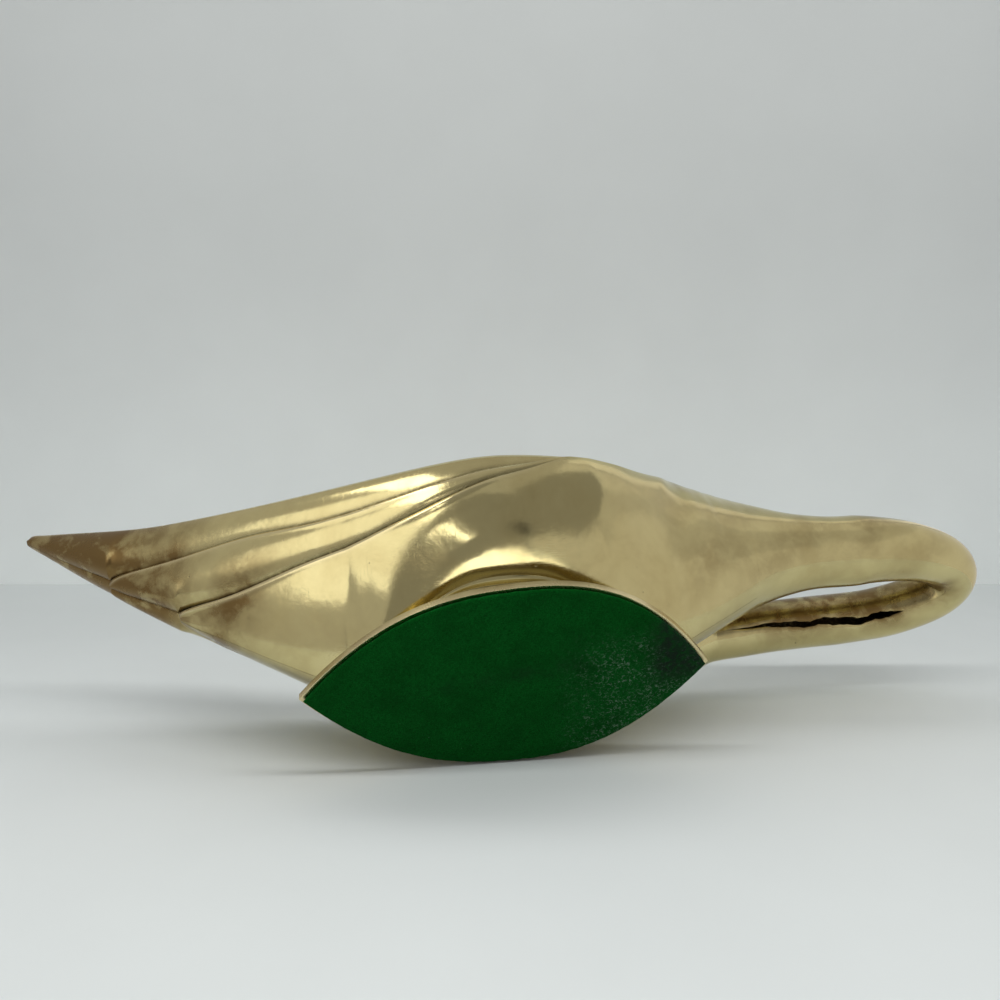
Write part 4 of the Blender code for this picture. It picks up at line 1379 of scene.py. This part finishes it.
@dataclass
class Studio:
    """The white box that the planter lies in: its faces, the patches of light in them, lamps and camera."""

    floor_drop: float = 0.1360
    half_width: float = 0.300
    depth: float = 0.640
    height: float = 0.464
    lens: float = 34.668
    pitch: float = math.radians(7.0)
    panel_level: float = 1.55
    strip_level: float = 33.0
    fill_level: float = 0.62
    world_level: float = 0.10
    surround_level: float = 0.55
    front_level: float = 0.27
    side_level: float = 0.60
    left_level: float = 0.47
    top_level: float = 0.42
    clearance: float = 0.002
    floor_bounce_fade: float = 0.26

    def one_sided(self, name: str, shader: bpy.types.NodeSocket, bench: Bench) -> bpy.types.Material:
        """Lets a box face be seen from its front only, so that the planter shows from every side."""
        behind = bench.node("NewGeometry").outputs["Backfacing"]
        clear = bench.node("BsdfTransparent").outputs["BSDF"]
        mix = bench.node("MixShader", {"Fac": behind, 1: shader, 2: clear})
        bench.feed(bench.tree.nodes["Material Output"].inputs["Surface"], mix.outputs["Shader"])
        bench.material.name = name
        return bench.material

    def matt(self, name: str, colour: tuple[float, float, float], foot: float = 1.0) -> bpy.types.Material:
        """A pale matt face that takes shadows.

        Args:
            name: the material's name.
            colour: its colour.
            foot: how much paler it is painted just over the floor: painted light bounced from the floor.

        Returns:
            The material.
        """
        bench = Bench(name)
        bench.shader.inputs["Roughness"].default_value = 0.9
        bench.shader.inputs["Specular IOR Level"].default_value = 0.1
        rise = bench.node("VectorMath", {0: bench.place, 1: ROOM.up}, operation="DOT_PRODUCT")
        level = ROOM.camera.dot(ROOM.up) - self.floor_drop
        faint = bench.fit(bench.noise(9.0, 3.0), 0.3, 0.7, 0.97, 1.0)
        # painted light: paler towards the floor, as if lit from the floor
        faint = bench.times(faint, bench.fit(rise.outputs["Value"], level, level + self.floor_bounce_fade, foot, 1.0))
        tint = bench.blend(1.0, colour, faint, "MULTIPLY")
        bench.feed(bench.shader.inputs["Base Color"], tint)
        return self.one_sided(name, bench.shader.outputs["BSDF"], bench)

    def glowing(self, name: str, level: float) -> bpy.types.Material:
        """A face of even brightness."""
        bench = Bench(name)
        glow = bench.node("Emission", {"Color": (*Tone.CARD.value, 1.0), "Strength": level})
        return self.one_sided(name, glow.outputs["Emission"], bench)

    def card(self, card: Card, seen: bool = False,
             material: bpy.types.Material | None = None) -> bpy.types.Object:
        """One flat patch of the box, facing the planter.

        Args:
            card: its name, level and corners.
            seen: whether the camera may see it; other patches show in the brass only.
            material: what it is made of, if it doesn't glow.

        Returns:
            The patch.
        """
        deselect_all()
        bpy.ops.mesh.primitive_circle_add(vertices=len(card.corners), radius=1.0, fill_type="NGON")
        patch = named_active(card.name)
        corners = [ROOM.place(*corner) for corner in card.corners]
        middle = sum(corners, Vector()) / len(corners)
        facing = (corners[1] - corners[0]).cross(corners[2] - corners[1])
        towards = ROOM.place(0.05, 0.35, 0.0) - middle
        if facing.dot(towards) < 0.0:
            corners.reverse()
        for vertex, corner in zip(patch.data.vertices, corners):
            vertex.co = corner
        patch.data.update()
        if patch.data.polygons[0].normal.dot(towards) < 0.0:
            patch.data.flip_normals()
        patch.data.materials.append(material or self.glowing(card.name, card.level))
        patch.visible_camera = patch.visible_diffuse = patch.visible_shadow = seen
        return patch

    def lamp(self, name: str, centre: tuple[float, float, float], facing: Vector, size: tuple[float, float],
             level: float) -> bpy.types.Object:
        """A flat lamp that shines to one side on the floor and the felt, as bright as its level."""
        data = bpy.data.lights.new(name, "AREA")
        data.shape = "RECTANGLE"
        data.size, data.size_y = size
        data.energy = level * math.pi * size[0] * size[1]
        data.color = Tone.LAMP.value
        lamp = bpy.data.objects.new(name, data)
        bpy.context.scene.collection.objects.link(lamp)
        side = ROOM.right if abs(facing.dot(ROOM.right)) < 0.9 else ROOM.ahead
        back = -facing.normalized()
        across = (side - back * side.dot(back)).normalized()
        lamp.matrix_world = ROOM.pose(ROOM.place(*centre), across, back.cross(across), back)
        lamp.visible_camera = lamp.visible_glossy = False
        return lamp

    def faces(self) -> list[Card]:
        """The box's own six faces; the floor and the back are the ones that the camera sees."""
        low, high, deep, near = -self.floor_drop, self.height, self.depth, -0.005
        wide, half, tall = 0.90, self.half_width, 0.7

        def level_face(out: float, up: float) -> tuple[tuple[float, float, float], ...]:
            return (-out, near, up), (out, near, up), (out, deep, up), (-out, deep, up)

        def upright_face(out: float, ahead: float, top: float) -> tuple[tuple[float, float, float], ...]:
            return (-out, ahead, low), (out, ahead, low), (out, ahead, top), (-out, ahead, top)

        def side_face(right: float) -> tuple[tuple[float, float, float], ...]:
            return (right, near, low), (right, deep, low), (right, deep, high), (right, near, high)

        return [
            Card("studio_floor", 0.0, level_face(wide, low)),
            Card("studio_back", 0.0, upright_face(wide, deep, tall)),
            Card("studio_front", self.front_level, upright_face(half, near, high)),
            Card("studio_top", self.top_level, level_face(half, high)),
            Card("studio_left", self.left_level, side_face(-half)),
            Card("studio_right", self.side_level, side_face(half)),
        ]

    def patches(self) -> list[Card]:
        """The bright and dull patches on the faces, which make the brass's mirrored picture."""
        wall, near, front = self.half_width - self.clearance, 0.097, 0.0
        floor = -self.floor_drop + 0.001
        turns = np.linspace(0.0, 2.0 * math.pi, 36, endpoint=False)
        disc = ((0.140 + 0.031 * math.cos(turn), 0.014 + 0.055 * math.sin(turn)) for turn in turns)
        upright = (
            ("left_pale", 1.30, -wall, (
                (0.048, 0.225), (0.270, 0.225), (0.275, 0.110), (0.215, 0.020), (0.150, -0.010),
                (0.048, 0.000))),
            ("left_bright", 3.0, -wall, (
                (0.048, 0.420), (0.400, 0.420), (0.400, 0.240), (0.048, 0.240))),
            ("right_dull", self.front_level, near, (
                (0.170, -0.043), (0.300, -0.007), (0.346, 0.0), (0.366, 0.018), (0.368, 0.045),
                (0.355, 0.080), (0.335, 0.115), (0.170, 0.240))),
            ("right_seam", 0.10, wall, (
                (0.545, -0.100), (0.556, -0.100), (0.556, 0.460), (0.545, 0.460))),
            ("right_back", 0.78, wall, (
                (0.556, -0.100), (0.638, -0.100), (0.638, 0.460), (0.556, 0.460))),
            ("right_mid", 0.49, wall, (
                (0.200, 0.040), (0.300, 0.050), (0.392, 0.062), (0.534, 0.047), (0.536, 0.056),
                (0.470, 0.108), (0.395, 0.182), (0.341, 0.267), (0.252, 0.349), (0.200, 0.382))),
        )
        facing = (
            ("front_bright", 2.6, front, (
                (-0.265, 0.188), (-0.205, 0.188), (-0.080, 0.053), (-0.020, -0.004), (-0.036, -0.010),
                (-0.087, 0.036), (-0.175, 0.116))),
            ("front_pale", self.side_level, front, (
                (0.299, 0.034), (0.262, 0.030), (0.165, -0.060), (0.150, -0.092), (0.170, -0.134),
                (0.299, -0.134))),
            ("front_low_bright", 1.9, front, (
                (0.030, -0.134), (0.140, -0.134), (0.135, -0.116), (0.050, -0.112))),
            ("camera_hole", 0.09, 0.001, disc),
        )
        lying = (
            ("floor_bright", 2.1, (
                (-0.010, 0.004), (0.120, 0.004), (0.112, 0.170), (-0.010, 0.190))),
            ("floor_streak", 0.30, (
                (-0.020, 0.191), (0.120, 0.171), (0.120, 0.189), (-0.020, 0.211))),
        )
        cards = [Card(name, level, tuple((right, a, u) for a, u in spots))
                 for name, level, right, spots in upright]
        cards += [Card(name, level, tuple((r, ahead, u) for r, u in spots))
                  for name, level, ahead, spots in facing]
        return cards + [Card(name, level, tuple((r, a, floor) for r, a in spots))
                        for name, level, spots in lying]

    def build(self) -> None:
        """Makes the box, the lamps, the world and the camera."""
        up, ahead = ROOM.up, ROOM.ahead
        floor, back, *others = self.faces()
        self.card(floor, True, self.matt("studio_floor", Tone.FLOOR.value))
        # the back is painted paler just over the floor: painted light
        self.card(back, True, self.matt("studio_back", Tone.BACK.value, 1.28))
        for card in others + self.patches():
            self.card(card)
        high = self.height - 0.004
        self.lamp("lamp_panel", (0.0, 0.45, high), -up, (1.60, 0.22), self.panel_level)
        self.lamp("lamp_front_strip", (0.0, 0.02, high - 0.002), -up, (1.10, 0.03), self.strip_level)
        self.lamp("lamp_front_fill", (0.0, 0.004, 0.10), ahead, (0.58, 0.40), self.fill_level)
        self.world()
        self.camera()

    def world(self) -> None:
        """A plain pale surround for the views from outside the box."""
        world = bpy.data.worlds.new("pale_surround")
        bpy.context.scene.world = world
        world.use_nodes = True
        surround = world.node_tree.nodes["Background"]
        surround.inputs["Color"].default_value = (0.97, 0.98, 1.0, 1.0)
        tree = world.node_tree
        path, strength = tree.nodes.new("ShaderNodeLightPath"), tree.nodes.new("ShaderNodeMapRange")
        strength.inputs["To Min"].default_value = self.world_level
        strength.inputs["To Max"].default_value = self.surround_level
        tree.links.new(path.outputs["Is Camera Ray"], strength.inputs["Value"])
        tree.links.new(strength.outputs["Result"], surround.inputs["Strength"])

    def camera(self) -> None:
        """The camera, a little above the planter and tipped down."""
        data = bpy.data.cameras.new("camera")
        data.lens = self.lens
        data.sensor_width = 36.0
        data.clip_start, data.clip_end = 0.01, 20.0
        camera = bpy.data.objects.new("camera", data)
        bpy.context.scene.collection.objects.link(camera)
        look = ROOM.ahead * math.cos(self.pitch) - ROOM.up * math.sin(self.pitch)
        above = ROOM.ahead * math.sin(self.pitch) + ROOM.up * math.cos(self.pitch)
        camera.matrix_world = ROOM.pose(ROOM.camera, ROOM.right, above, -look)
        bpy.context.scene.camera = camera


def main() -> None:
    """Builds the planter's pieces in order, then the studio."""
    logging.basicConfig(level=logging.INFO, format="%(name)s: %(message)s")
    bpy.context.scene.view_settings.view_transform = "Standard"
    form = SwanForm()
    neck = Neck(form)
    for assembly in (Bowl(form), Foot(form), neck, Head(neck)):
        for piece in assembly.build():
            LOG.info("made %s", piece.name)
    deselect_all()
    Studio().build()


if __name__ == "__main__":
    main()
